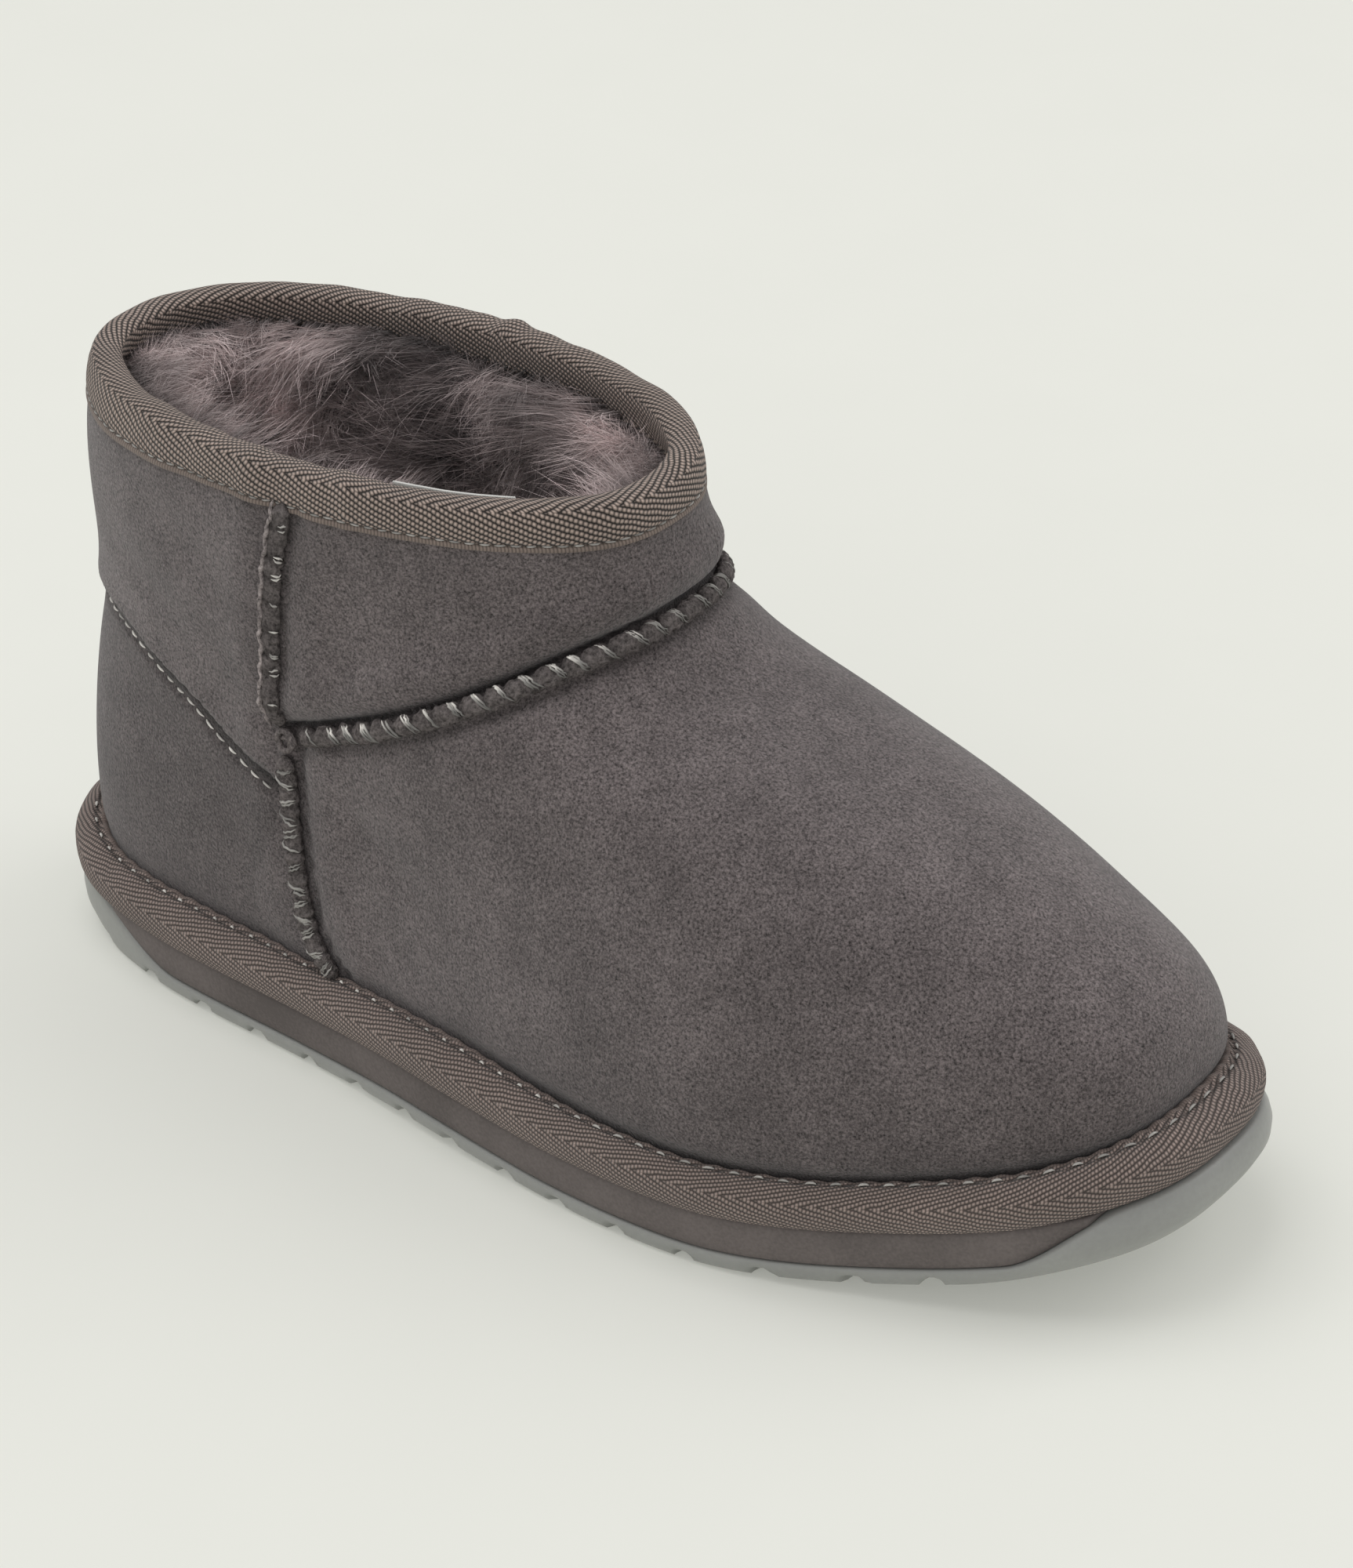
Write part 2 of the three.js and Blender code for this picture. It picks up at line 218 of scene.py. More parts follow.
# ---- Outsole ----
# A moulded rubber sheet, pale and a little translucent, glued under the foam. It turns up over the foam's
# ends at the toe and heel, and zigzag grooves cut its tread into lugs that notch its edge.
SOLE_LENGTH = 270.0
SOLE_THICKNESS = 12.5
HEEL_BACK = -134.85  # X of the sole's back edge
MIDDLE = -0.31  # Y of the heel's middle line
TOE_SWING = 6.5  # how far the toe bends towards the inner side
TOE_SPRING = 17.0
HEEL_LIFT = 2.5
ARCH_LIFT = 1.2
LUG_PITCH = 15.0
LUG_DEPTH = 2.2
FIRST_GROOVE = 18.0  # from the sole's back edge
TREAD_START = 10.0  # from the sole's back edge
TREAD_END = 36.0  # short of the toe
GROOVE_WIDTH = 3.8
GROOVE_SWING = 3.2
ZIGZAG_WIDTH = 30.0
TREAD_STEPS = 44  # steps across the tread
AROUND = 720  # steps round the boot
FOOTPRINT = [
    {"share": 0.0, "outer": 54.0, "inner": 55.0},
    {"share": 0.12, "outer": 46.5, "inner": 47.5},
    {"share": 0.3, "outer": 42.0, "inner": 38.5},
    {"share": 0.48, "outer": 48.0, "inner": 38.0},
    {"share": 0.68, "outer": 54.5, "inner": 49.5},
    {"share": 0.85, "outer": 52.5, "inner": 53.5},
    {"share": 1.0, "outer": 58.0, "inner": 60.0},
]


def smooth_column(table, along, key, at):
    """A smooth curve through one column of a table, at the given places."""
    x = np.array([row[along] for row in table])
    y = np.array([row[key] for row in table])
    slope = np.gradient(y, x) * 0
    slope[1:-1] = (y[2:] - y[:-2]) / (x[2:] - x[:-2])
    slope[0] = 1.5 * (y[1] - y[0]) / (x[1] - x[0]) - slope[1] / 2
    slope[-1] = 1.5 * (y[-1] - y[-2]) / (x[-1] - x[-2]) - slope[-2] / 2
    k = np.clip(np.searchsorted(x, at, side="right") - 1, 0, len(x) - 2)
    step = x[k + 1] - x[k]
    t = (at - x[k]) / step
    low = (2 * t**3 - 3 * t**2 + 1) * y[k] + (t**3 - 2 * t**2 + t) * step * slope[k]
    return low + (3 * t**2 - 2 * t**3) * y[k + 1] + (t**3 - t**2) * step * slope[k + 1]


def fade(value, start, end):
    """0 before start, 1 past end, and a smooth rise between them."""
    t = np.clip((value - start) / (end - start), 0, 1)
    return t * t * (3 - 2 * t)


def sole_lift(x):
    """How far the sole's underside is off the floor."""
    from_heel = x - HEEL_BACK
    toe = np.clip((from_heel / SOLE_LENGTH - 0.66) / 0.34, 0, 1.1)
    heel = np.clip(1 - from_heel / 22, 0, 1.1)
    arch = fade(from_heel, 80, 112) * (1 - fade(from_heel, 118, 150))
    return TOE_SPRING * toe**1.9 + HEEL_LIFT * heel**2 + ARCH_LIFT * arch


turns = np.linspace(0, 2 * math.pi, AROUND, endpoint=False)
turns = turns - 0.22 * np.sin(2 * turns)
share = (1 - np.cos(turns)) / 2
outer_half = smooth_column(FOOTPRINT, "share", "outer", share)
inner_half = smooth_column(FOOTPRINT, "share", "inner", share)
half = np.where(np.sin(turns) >= 0, -outer_half, inner_half) * np.abs(np.sin(turns)) ** 0.8
outline = np.stack([HEEL_BACK + share * SOLE_LENGTH, MIDDLE + TOE_SWING * share**2 + half], 1)


def outward_of(ring):
    """Unit normals in plan of a closed ring that runs anticlockwise seen from above."""
    along = np.roll(ring, -1, 0)[:, :2] - np.roll(ring, 1, 0)[:, :2]
    normal = np.stack([along[:, 1], -along[:, 0]], 1)
    return normal / np.linalg.norm(normal, axis=1, keepdims=True)


outline_out = outward_of(outline)


def sole_ring(up, out):
    """The sole's outline moved outwards, at a height over its own lifted underside."""
    plan = outline + outline_out * np.broadcast_to(out, AROUND)[:, None]
    return np.column_stack([plan, np.broadcast_to(up, AROUND) + sole_lift(plan[:, 0])])


def mesh_piece(name, points, faces, tape=None):
    """A smooth mesh object from points in millimetres and faces, with a tape's UV for each corner."""
    data = bpy.data.meshes.new(name)
    data.from_pydata((np.asarray(points) * MM).tolist(), [], [list(f) for f in faces])
    data.update()
    data.shade_smooth()
    if tape is not None:
        layer = data.uv_layers.new(name="tape")
        layer.data.foreach_set("uv", np.asarray(tape, dtype=np.float32).ravel())
    piece = bpy.data.objects.new(name, data)
    bpy.context.scene.collection.objects.link(piece)
    return piece


def band_faces(rows, around, closed):
    """Quads between neighbouring rings of points, as rows of corner numbers."""
    last = rows if closed else rows - 1
    j, i = np.meshgrid(np.arange(last), np.arange(around), indexing="ij")
    low, high = j * around, ((j + 1) % rows) * around
    after = (i + 1) % around
    return np.stack([low + i, low + after, high + after, high + i], -1).reshape(-1, 4)


def outward_faces(piece):
    """Turns the faces of a closed piece to point out of it."""
    shape = bmesh.new()
    shape.from_mesh(piece.data)
    bmesh.ops.recalc_face_normals(shape, faces=shape.faces)
    shape.to_mesh(piece.data)
    shape.free()


def groove(x, y):
    """1 inside the tread's zigzag grooves and 0 on its lugs, with chamfered sides."""
    zigzag = GROOVE_SWING * (4 * np.abs(((y - MIDDLE) / ZIGZAG_WIDTH + 0.25) % 1 - 0.5) - 1)
    from_centre = x - HEEL_BACK - FIRST_GROOVE - zigzag
    from_centre = np.abs((from_centre + LUG_PITCH / 2) % LUG_PITCH - LUG_PITCH / 2)
    end = HEEL_BACK + SOLE_LENGTH - TREAD_END
    within = fade(x, HEEL_BACK + TREAD_START, HEEL_BACK + TREAD_START + 4) * (1 - fade(x, end, end + 6))
    return within * (1 - fade(from_centre, GROOVE_WIDTH / 2 - 0.9, GROOVE_WIDTH / 2 + 0.3))


from_heel = outline[:, 0] - HEEL_BACK
toe_wrap = fade(from_heel, 243, 263)
heel_wrap = 1 - fade(from_heel, 13, 42)
wrap = np.maximum(toe_wrap, heel_wrap)
rubber_top = 4 + (SOLE_THICKNESS - 4) * wrap
toe_end = fade(from_heel, 235, 262)
heel_end = 1 - fade(from_heel, 3, 22)

side_rows = []
SIDE = [
    {"share": 1.0, "in": 5.0},
    {"share": 1.0, "in": 0.5},
    {"share": 0.95, "in": 0.0},
    {"share": 0.78, "in": -0.1},
    {"share": 0.6, "in": -0.1},
    {"share": 0.42, "in": 0.0},
    {"share": 0.26, "in": 0.25},
    {"share": 0.13, "in": 0.6},
    {"share": 0.04, "in": 1.0},
    {"share": 0.0, "in": 1.8},
]
for row in SIDE:
    up = rubber_top * row["share"]
    bulge = np.sin(np.clip(up / SOLE_THICKNESS, 0, 1) * math.pi) * (1.7 * toe_end + 0.8 * heel_end)
    tuck = (2.2 * toe_end + 3 * heel_end) * (1 - np.clip(up / 6, 0, 1)) ** 1.5
    ring = sole_ring(up, bulge - tuck - row["in"])
    notch = groove(ring[:, 0], ring[:, 1]) * (1 - fade(up, 0.2, 3.2))
    ring[:, :2] -= outline_out * notch[:, None] * 1.7
    ring[:, 2] += notch * LUG_DEPTH * (1 - fade(up, 0, 2.5))
    side_rows.append(ring)
rim = side_rows[-1]
half_way = AROUND // 2
outer_edge = rim[: half_way + 1]
inner_edge = rim[(-np.arange(half_way + 1)) % AROUND]
tread = []
for step in range(1, TREAD_STEPS):
    strip = outer_edge + (inner_edge - outer_edge) * step / TREAD_STEPS
    strip[:, 2] = sole_lift(strip[:, 0]) + groove(strip[:, 0], strip[:, 1]) * LUG_DEPTH
    tread.append(strip[1:-1])
points = np.concatenate([np.concatenate(side_rows), np.concatenate(tread)])
faces = band_faces(len(side_rows), AROUND, False).tolist()
rim_start = (len(side_rows) - 1) * AROUND
tread_start = len(side_rows) * AROUND
stations = half_way - 1


def tread_point(step, station):
    """Number of the point at a step across the sole, at a station along it."""
    if step == 0 or station in (0, half_way):
        return rim_start + station
    if step == TREAD_STEPS:
        return rim_start + (AROUND - station) % AROUND
    return tread_start + (step - 1) * stations + station - 1


for step in range(TREAD_STEPS):
    for station in range(half_way):
        corners = [
            tread_point(step, station),
            tread_point(step, station + 1),
            tread_point(step + 1, station + 1),
            tread_point(step + 1, station),
        ]
        faces.append(list(dict.fromkeys(corners)))
faces.append(list(range(AROUND)))  # closes the top, under the foam
outsole = mesh_piece("outsole_rubber", points, [f for f in faces if len(f) > 2])
outward_faces(outsole)


def effect(name, inputs, outputs):
    """An empty shader node group with its named inputs and outputs, and its two end nodes."""
    group = bpy.data.node_groups.new(name, "ShaderNodeTree")
    for key, kind, value in inputs:
        socket = group.interface.new_socket(key, in_out="INPUT", socket_type=kind)
        if value is not None:
            socket.default_value = value
    for key, kind in outputs:
        group.interface.new_socket(key, in_out="OUTPUT", socket_type=kind)
    return group, group.nodes.new("NodeGroupInput"), group.nodes.new("NodeGroupOutput")


def use(tree, group, **inputs):
    """A group placed in a material, with its inputs given as values or sockets."""
    return node(tree, "ShaderNodeGroup", inputs, node_tree=group)


FLOAT = "NodeSocketFloat"
moulded, ends_in, ends_out = effect(
    "moulded_finish",
    [("Place", "NodeSocketVector", None), ("Stipple", FLOAT, 1500.0), ("Clouds", FLOAT, 40.0)],
    [("Tone", FLOAT), ("Height", FLOAT)],
)
given = ends_in.outputs
stipple = noise(moulded, given["Place"], given["Stipple"], 1)
clouds = maths(moulded, "MULTIPLY", noise(moulded, given["Place"], given["Clouds"], 3), 0.65)
tone = maths(moulded, "ADD", maths(moulded, "MULTIPLY", stipple, 0.35), clouds)
moulded.links.new(tone, ends_out.inputs["Tone"])
moulded.links.new(stipple, ends_out.inputs["Height"])

rubber, tree, shader = new_material(
    "pale_rubber",
    Roughness=0.42,
    Specular_IOR_Level=0.5,
    Subsurface_Weight=0.2,
    Subsurface_Scale=0.0015,
    Subsurface_Radius=(1.0, 0.95, 0.85),
)
finish = use(tree, moulded, Place=on_piece(tree), Stipple=900.0, Clouds=60.0)
tone = spread(tree, finish.outputs["Tone"], 0.3, 0.7, 0.93, 1.07)
coloured(tree, shader, linear(150, 151, 148), tone)
raised(tree, shader, finish.outputs["Height"], 0.25, 0.0002)
outsole.data.materials.append(rubber)
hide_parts("outsole")
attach(outsole, "root")


# ---- Midsole ----
# A wedge of moulded foam between the rubber and the rand, dark warm grey, with a slightly rough side.
FOAM_SIDE = [
    {"share": 0.0, "out": -6.0},
    {"share": 0.0, "out": -0.9},
    {"share": 0.06, "out": -0.35},
    {"share": 0.3, "out": -0.05},
    {"share": 0.6, "out": 0.1},
    {"share": 0.85, "out": 0.0},
    {"share": 1.0, "out": -0.4},
    {"share": 1.0, "out": -6.0},
]
foam_rows = []
for row in FOAM_SIDE:
    low = rubber_top + 0.05
    up = low + (SOLE_THICKNESS + 0.5 - low) * row["share"]
    foam_rows.append(sole_ring(up, row["out"] - 2.5 * fade(wrap, 0.75, 1)))
faces = band_faces(len(foam_rows), AROUND, True)
midsole = mesh_piece("midsole_foam", np.concatenate(foam_rows), faces)
outward_faces(midsole)
foam, tree, shader = new_material("dark_foam", Roughness=0.75, Specular_IOR_Level=0.3)
finish = use(tree, moulded, Place=on_piece(tree), Stipple=1500.0, Clouds=45.0)
tone = spread(tree, finish.outputs["Tone"], 0.35, 0.65, 0.78, 1.22)
coloured(tree, shader, linear(105, 98, 96), tone)
raised(tree, shader, finish.outputs["Height"], 0.35, 0.0002)
midsole.data.materials.append(foam)
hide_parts("midsole")
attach(midsole, "root")


# ---- Sheepskin upper ----
# Panels of sheepskin sewn edge to edge, the suede side out: a vamp over the foot, a front and a back shaft
# panel, and a heel panel. Each panel is puffy beside its seams, because the fleece behind it is thick.
def cad_copy(cad_name, name):
    """A free copy of a CAD node with its triangles merged and paired, and nothing else selected."""
    bpy.ops.object.select_all(action="DESELECT")
    made = frame["nodes"][cad_name].copy()
    made.data = frame["nodes"][cad_name].data.copy()
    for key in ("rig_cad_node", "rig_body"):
        del made[key]
    made.parent = None
    bpy.context.scene.collection.objects.link(made)
    made.name = name
    made.data.materials.clear()
    made.select_set(True)
    bpy.context.view_layer.objects.active = made
    bpy.ops.object.mode_set(mode="EDIT")
    bpy.ops.mesh.select_all(action="SELECT")
    bpy.ops.mesh.remove_doubles(threshold=1e-5)
    flat_enough = math.radians(60)
    bpy.ops.mesh.tris_convert_to_quads(face_threshold=flat_enough, shape_threshold=flat_enough)
    bpy.ops.mesh.select_all(action="DESELECT")
    bpy.ops.object.mode_set(mode="OBJECT")
    return made


# The closed wall is opened at its rim and under the foot, which parts it into the suede and the lining.
RIM_DEPTH = 4.5
UNDERSIDE_HEIGHT = 26.0
shell = cad_copy("upper", "suede_panels")
low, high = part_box("upper")
for face in shell.data.polygons:
    z = face.center.z
    at_rim = z > high.z - RIM_DEPTH * MM
    underneath = face.normal.z < 0 and z < low.z + UNDERSIDE_HEIGHT * MM
    face.select = abs(face.normal.z) > 0.85 and (at_rim or underneath)
bpy.ops.object.mode_set(mode="EDIT")
bpy.ops.mesh.delete(type="FACE")
bpy.ops.mesh.select_all(action="SELECT")
bpy.ops.mesh.separate(type="LOOSE")
bpy.ops.object.mode_set(mode="OBJECT")
shells = sorted(bpy.context.selected_objects, key=lambda o: o.dimensions.x)
lining, suede = shells[0], shells[-1]
lining.name = "fleece_lining"
suede.name = "suede_panels"


def smoothed(piece, levels):
    """Subdivides a piece for good, with the same levels everywhere."""
    bpy.ops.object.select_all(action="DESELECT")
    piece.select_set(True)
    bpy.context.view_layer.objects.active = piece
    rounding = piece.modifiers.new("rounding", "SUBSURF")
    rounding.levels = levels
    rounding.render_levels = levels
    bpy.ops.object.modifier_apply(modifier="rounding")


def places_of(piece):
    """A piece's points and their normals, in millimetres."""
    count = len(piece.data.vertices)
    place, facing = np.empty(count * 3, np.float32), np.empty(count * 3, np.float32)
    piece.data.vertices.foreach_get("co", place)
    piece.data.vertices.foreach_get("normal", facing)
    return place.reshape(-1, 3) / MM, facing.reshape(-1, 3)


def put_back(piece, place):
    """Moves a piece's points to new places given in millimetres."""
    piece.data.vertices.foreach_set("co", (place * MM).astype(np.float32).ravel())
    piece.data.update()


def surface_of(piece):
    """A search tree over a piece's faces, in millimetres."""
    place, _ = places_of(piece)
    return BVHTree.FromPolygons(place.tolist(), [list(f.vertices) for f in piece.data.polygons])


def painted(piece, name, values):
    """Writes one number per point for a material to read."""
    layer = piece.data.attributes.new(name, "FLOAT", "POINT")
    layer.data.foreach_set("value", np.asarray(values, dtype=np.float32))


def smooth_curve(points, step):
    """Evenly spaced places on a smooth curve through a few points."""
    points = np.asarray(points, dtype=float)
    reach = np.concatenate([[0], np.cumsum(np.linalg.norm(np.diff(points, axis=0), axis=1))])
    at = np.linspace(0, reach[-1], int(reach[-1] / step) + 1)
    table = [{"reach": r, 0: p[0], 1: p[1], 2: p[2]} for r, p in zip(reach, points)]
    return np.column_stack([smooth_column(table, "reach", k, at) for k in range(3)])


smoothed(suede, 3)
skin_before = surface_of(suede)


def on_skin(points, surface, lift=0.0):
    """Points dropped to the nearest place of the skin, and its normals there."""
    hits = [surface.find_nearest(Vector(p)) for p in points]
    normals = np.array([h[1] for h in hits])
    return np.array([h[0] for h in hits]) + normals * lift, normals


def inner_twin(point):
    """The place on the inner side of the boot across from one on its outer side."""
    x, y, z = point
    far = skin_before.ray_cast(Vector((x, 200, z)), Vector((0, -1, 0)))[0]
    near = skin_before.ray_cast(Vector((x, -200, z)), Vector((0, 1, 0)))[0]
    return (x, far.y + near.y - y, z)


# Each seam on the outer side, as the few places that it passes.
UPPER_SIDE_SEAM = [
    (-57, -31, 126),
    (-59.8, -31, 109),
    (-60.8, -31.5, 93.5),
    (-60.8, -30.5, 80),
    (-59.6, -30.5, 72),
]
LOWER_SIDE_SEAM = [
    (-59.5, -30.5, 72),
    (-59, -31.5, 57.5),
    (-55.5, -33.5, 38),
    (-52, -34.5, 28),
    (-47, -35, 22),
]
INSTEP_SEAM = [
    (-57, -30.5, 73.5),
    (-38, -32, 81.5),
    (-21.5, -30.5, 89.5),
    (-10, -25.5, 95.5),
    (0, -18, 101),
]
INSTEP_FRONT = [(8, -7, 105), (10.8, 6.5, 106.2)]
HEEL_SEAM = [
    (-64, -30.5, 62),
    (-75.5, -29, 66),
    (-85, -28, 71),
    (-96.5, -25.5, 75.5),
    (-109, -21.5, 80),
    (-120.5, -14, 81),
]
HEEL_BACK_POINT = (-128, -0.3, 81.5)

instep_half = INSTEP_SEAM + INSTEP_FRONT[:1]
instep_all = instep_half + INSTEP_FRONT[1:] + [inner_twin(p) for p in instep_half[:-1][::-1]]
instep_all.insert(len(instep_half) + 1, (8, 20, 105))
heel_all = HEEL_SEAM + [HEEL_BACK_POINT] + [inner_twin(p) for p in HEEL_SEAM[:-1][::-1]]
heel_all.insert(len(HEEL_SEAM) + 1, (-120.5, 13.4, 81))
seams = {"instep": instep_all, "heel": heel_all}
for side in ("outer", "inner"):
    flip = (lambda p: p) if side == "outer" else inner_twin
    seams["upper_" + side] = [flip(p) for p in UPPER_SIDE_SEAM]
    seams["lower_" + side] = [flip(p) for p in LOWER_SIDE_SEAM]
seams = {name: on_skin(smooth_curve(path, 0.6), skin_before)[0] for name, path in seams.items()}


BATCH = 3000  # places measured at a time, to spare memory


def nearest_on(path, places, facing):
    """Distance of places from a line, signed by side, and how far each lies past the line's ends."""
    along = np.gradient(path, axis=0)
    along = along / np.linalg.norm(along, axis=1, keepdims=True)
    gap, where = np.empty(len(places)), np.empty(len(places), int)
    for start in range(0, len(places), BATCH):
        part = slice(start, start + BATCH)
        all_gaps = np.linalg.norm(places[part, None] - path[None, ::2], axis=2)
        where[part] = 2 * all_gaps.argmin(axis=1)
        gap[part] = all_gaps.min(axis=1)
    to_side = np.einsum("ij,ij->i", np.cross(facing, along[where]), places - path[where])
    beyond = np.abs(np.einsum("ij,ij->i", along[where], places - path[where]))
    return gap * np.sign(to_side), beyond


def hill(distance, centre, width):
    """A smooth hill of height 1 around a centre."""
    return np.exp(-(((distance - centre) / width) ** 2))


place, facing = places_of(suede)
push = np.zeros(len(place))
shade = np.ones(len(place))

# Beside the instep seam: a deep recess above the cord, with the shaft's panel puffed out over it. Painted
# shade lies in the recess and in the dip below the cord.
above, beyond = nearest_on(seams["instep"], place, facing)
ending = 1 - fade(beyond, 0.3, 2.4)
push += ending * (-2.0 * hill(above, 2.6, 1.0) + 2.1 * hill(above, 8.5, 4.6) * (above > 0))
push += ending * (-0.8 * hill(above, -2.7, 1.1) + 0.6 * hill(above, -9, 5) * (above < 0))
shade *= 1 - ending * (0.85 * hill(above, 2.7, 1.0) + 0.35 * hill(above, -2.7, 0.8))

# Beside the heel seam: the shaft's folded edge stands over the heel panel. Painted shadow lies under the
# fold and along the stitched groove, and a painted highlight lies on the shaft just above the fold. Below
# the seam the heel panel is a little darker overall.
below, beyond = nearest_on(seams["heel"], place, facing)
above = -below
ending = 1 - fade(beyond, 1.0, 5.0)
folded = np.exp(-np.maximum(above, 0) / 13) * fade(above, -0.3, 1.1)
push += ending * (np.where(above > -0.3, 1.8 * folded, 0) - 0.8 * hill(above, -1.4, 1.2))
push -= ending * 0.7 * hill(above, -3.8, 0.8)
shade *= 1 - ending * (0.85 * hill(above, -1.3, 1.0) - 0.1 * hill(above, 7, 5))
shade *= 1 - ending * 0.4 * hill(above, -3.0, 1.2)
shade *= 1 - 0.22 * ending * (above < -2) * fade(place[:, 2], 15, 45)

# Beside the side seams: a narrow groove in front of the seam, and puffed panels on both sides, with painted
# shade in the groove and just behind the seam.
for side, sign in (("outer", 1), ("inner", -1)):
    for part, deep, wide in (("upper_", 0.4, 0.7), ("lower_", 1.0, 1.0)):
        ahead, beyond = nearest_on(seams[part + side], place, facing)
        ahead = ahead * sign
        ending = 1 - fade(beyond, 0.8, 3.0)
        push += ending * (-deep * hill(ahead, 2.7, wide) - 0.4 * deep * hill(ahead, -2.6, 1.1))
        push += ending * (0.8 * hill(ahead, 9, 5) + 0.6 * hill(ahead, -9, 5) + 0.5 * hill(ahead, 0, 1.8))
        shade *= 1 - ending * (0.36 * deep * hill(ahead, 2.7, wide) + 0.15 * hill(ahead, -2.4, 0.9))

# Soft creases and ridges where the foot bends the hide.
CREASES = [
    {"from": (-50, -31, 84), "to": (-36, -32, 98), "depth": 0.7, "width": 3.0},
    {"from": (-40, -32, 88), "to": (-22, -31, 97), "depth": 0.6, "width": 3.5},
    {"from": (-112, -22, 96), "to": (-88, -28, 90), "depth": 0.7, "width": 4.5},
    {"from": (-100, -27, 112), "to": (-74, -30, 104), "depth": 0.5, "width": 5.0},
    {"from": (-46, -36, 62), "to": (-22, -40, 50), "depth": 0.6, "width": 5.0},
    {"from": (-5, -34, 82), "to": (26, -36, 62), "depth": 0.6, "width": 7.0},
    {"from": (20, -14, 92), "to": (52, -34, 58), "depth": -0.6, "width": 9.0},
    {"from": (62, -38, 44), "to": (92, -30, 40), "depth": 0.6, "width": 7.0},
    {"from": (70, 4, 66), "to": (104, 6, 50), "depth": -0.5, "width": 9.0},
    {"from": (-44, 44, 60), "to": (-14, 44, 50), "depth": 0.7, "width": 5.0},
    {"from": (20, 44, 66), "to": (50, 48, 44), "depth": 0.6, "width": 7.0},
]
for crease in CREASES:
    line = np.linspace(crease["from"], crease["to"], 12)
    line, _ = on_skin(line, skin_before)
    taper = np.sin(np.linspace(0.25, math.pi - 0.25, 12))
    gaps = np.linalg.norm(place[:, None] - line[None], axis=2)
    push -= crease["depth"] * (hill(gaps, 0, crease["width"]) * taper).max(axis=1)

# The hide is a little wavy all over, and sinks where it goes in behind the rand, with painted shade in that
# recess. Low down at the front it is painted darker, as shade, and faces that look up are painted lighter,
# as light from above.
waves = np.array([rough_noise.noise(Vector(p) * 0.035) for p in place])
push += 0.55 * waves * fade(124 - place[:, 2], 0, 12)
over_rand = place[:, 2] - sole_lift(place[:, 0]) - SOLE_THICKNESS - 10
forefoot = 0.45 + 0.55 * fade(place[:, 0], -50, 30)
push -= 1.3 * hill(over_rand, 0.5, 2.4) * forefoot
shade *= 1 - (0.6 * hill(over_rand, 0, 2.2) + 0.16 * hill(over_rand, 0, 7)) * forefoot
shade *= 1 - 0.14 * (1 - fade(place[:, 2], 26, 52)) * fade(place[:, 0], -40, 40)
shade *= 1 + 0.1 * fade(facing[:, 2], 0.45, 0.95)
place = place + facing * push[:, None]
put_back(suede, place)
suede.data.shade_smooth()
painted(suede, "shade", shade)
skin = surface_of(suede)

suede_leather, tree, shader = new_material(
    "brushed_suede", Roughness=0.9, Specular_IOR_Level=0.15, Sheen_Weight=0.32, Sheen_Roughness=0.45
)
place_node = on_piece(tree)
speckle = noise(tree, place_node, 1800, 3, 0.75)
tone = spread(tree, speckle, 0.3, 0.7, 0.12, 1.88)
tone = clouded(tree, tone, place_node, 38, 0.86, 1.14, 3, 0.6)
streak = noise(tree, place_node, 150, 3, 0.6)
tone = maths(tree, "MULTIPLY", tone, spread(tree, streak, 0.3, 0.7, 0.91, 1.09))
tone = maths(tree, "MULTIPLY", tone, painted_tone(tree, "shade"))
coloured(tree, shader, linear(100, 93, 93), tone)
raised(tree, shader, speckle, 0.8, 0.0005)
raised(tree, shader, streak, 0.3, 0.001)
suede.data.materials.append(suede_leather)
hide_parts("upper")
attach(suede, "root")


# ---- Collar binding ----
# A herringbone tape folded over the rim and sewn through: about 8 mm shows outside, more inside. It is a
# little wavy, and its lower edge has a plain selvedge below the row of stitches.
RIM_STEPS = 480
TAPE_PROUD = 1.25
COLLAR_MIDDLE = np.array([-64.0, 5.0])
BINDING_OUTSIDE = 7.2  # how far the tape comes down outside, at the front
BINDING_EXTRA = 2.2  # and how much farther at the back
BINDING_INSIDE = 9.5


def round_collar(values):
    """A list of values round the collar, evened out a little."""
    return (np.roll(values, 1, 0) + 2 * values + np.roll(values, -1, 0)) / 4


rim_turns = np.linspace(0, 2 * math.pi, RIM_STEPS, endpoint=False)
rim_ways = np.stack([-np.cos(rim_turns), -np.sin(rim_turns)], 1)
lining_tree = surface_of(lining)


def rim_height(piece):
    """Height of a shell's open top edge at each step round the collar."""
    place, _ = places_of(piece)
    top = np.array([e.vertices for e in piece.data.edges])
    uses = np.zeros(len(top), int)
    number = {tuple(sorted(e)): k for k, e in enumerate(top.tolist())}
    for face in piece.data.polygons:
        for key in face.edge_keys:
            uses[number[tuple(sorted(key))]] += 1
    edge = np.unique(top[uses == 1])
    edge = edge[place[edge, 2] > 110]
    angle = np.arctan2(-(place[edge, 1] - COLLAR_MIDDLE[1]), -(place[edge, 0] - COLLAR_MIDDLE[0]))
    order = np.argsort(angle)
    return np.interp(rim_turns, angle[order], place[edge, 2][order], period=2 * math.pi)


def collar_ring(tree, inward, heights, fallback):
    """Places where level rays to or from the collar's middle meet a shell."""
    ring = []
    for way, height, last in zip(rim_ways, heights, fallback):
        start = COLLAR_MIDDLE + (way * 0 if inward else way * 110)
        aim = way if inward else -way
        hit = tree.ray_cast(Vector((*start, height)), Vector((*aim, 0)))[0]
        ring.append(list(hit) if hit else [*(last[:2]), height])
    return np.array(ring)


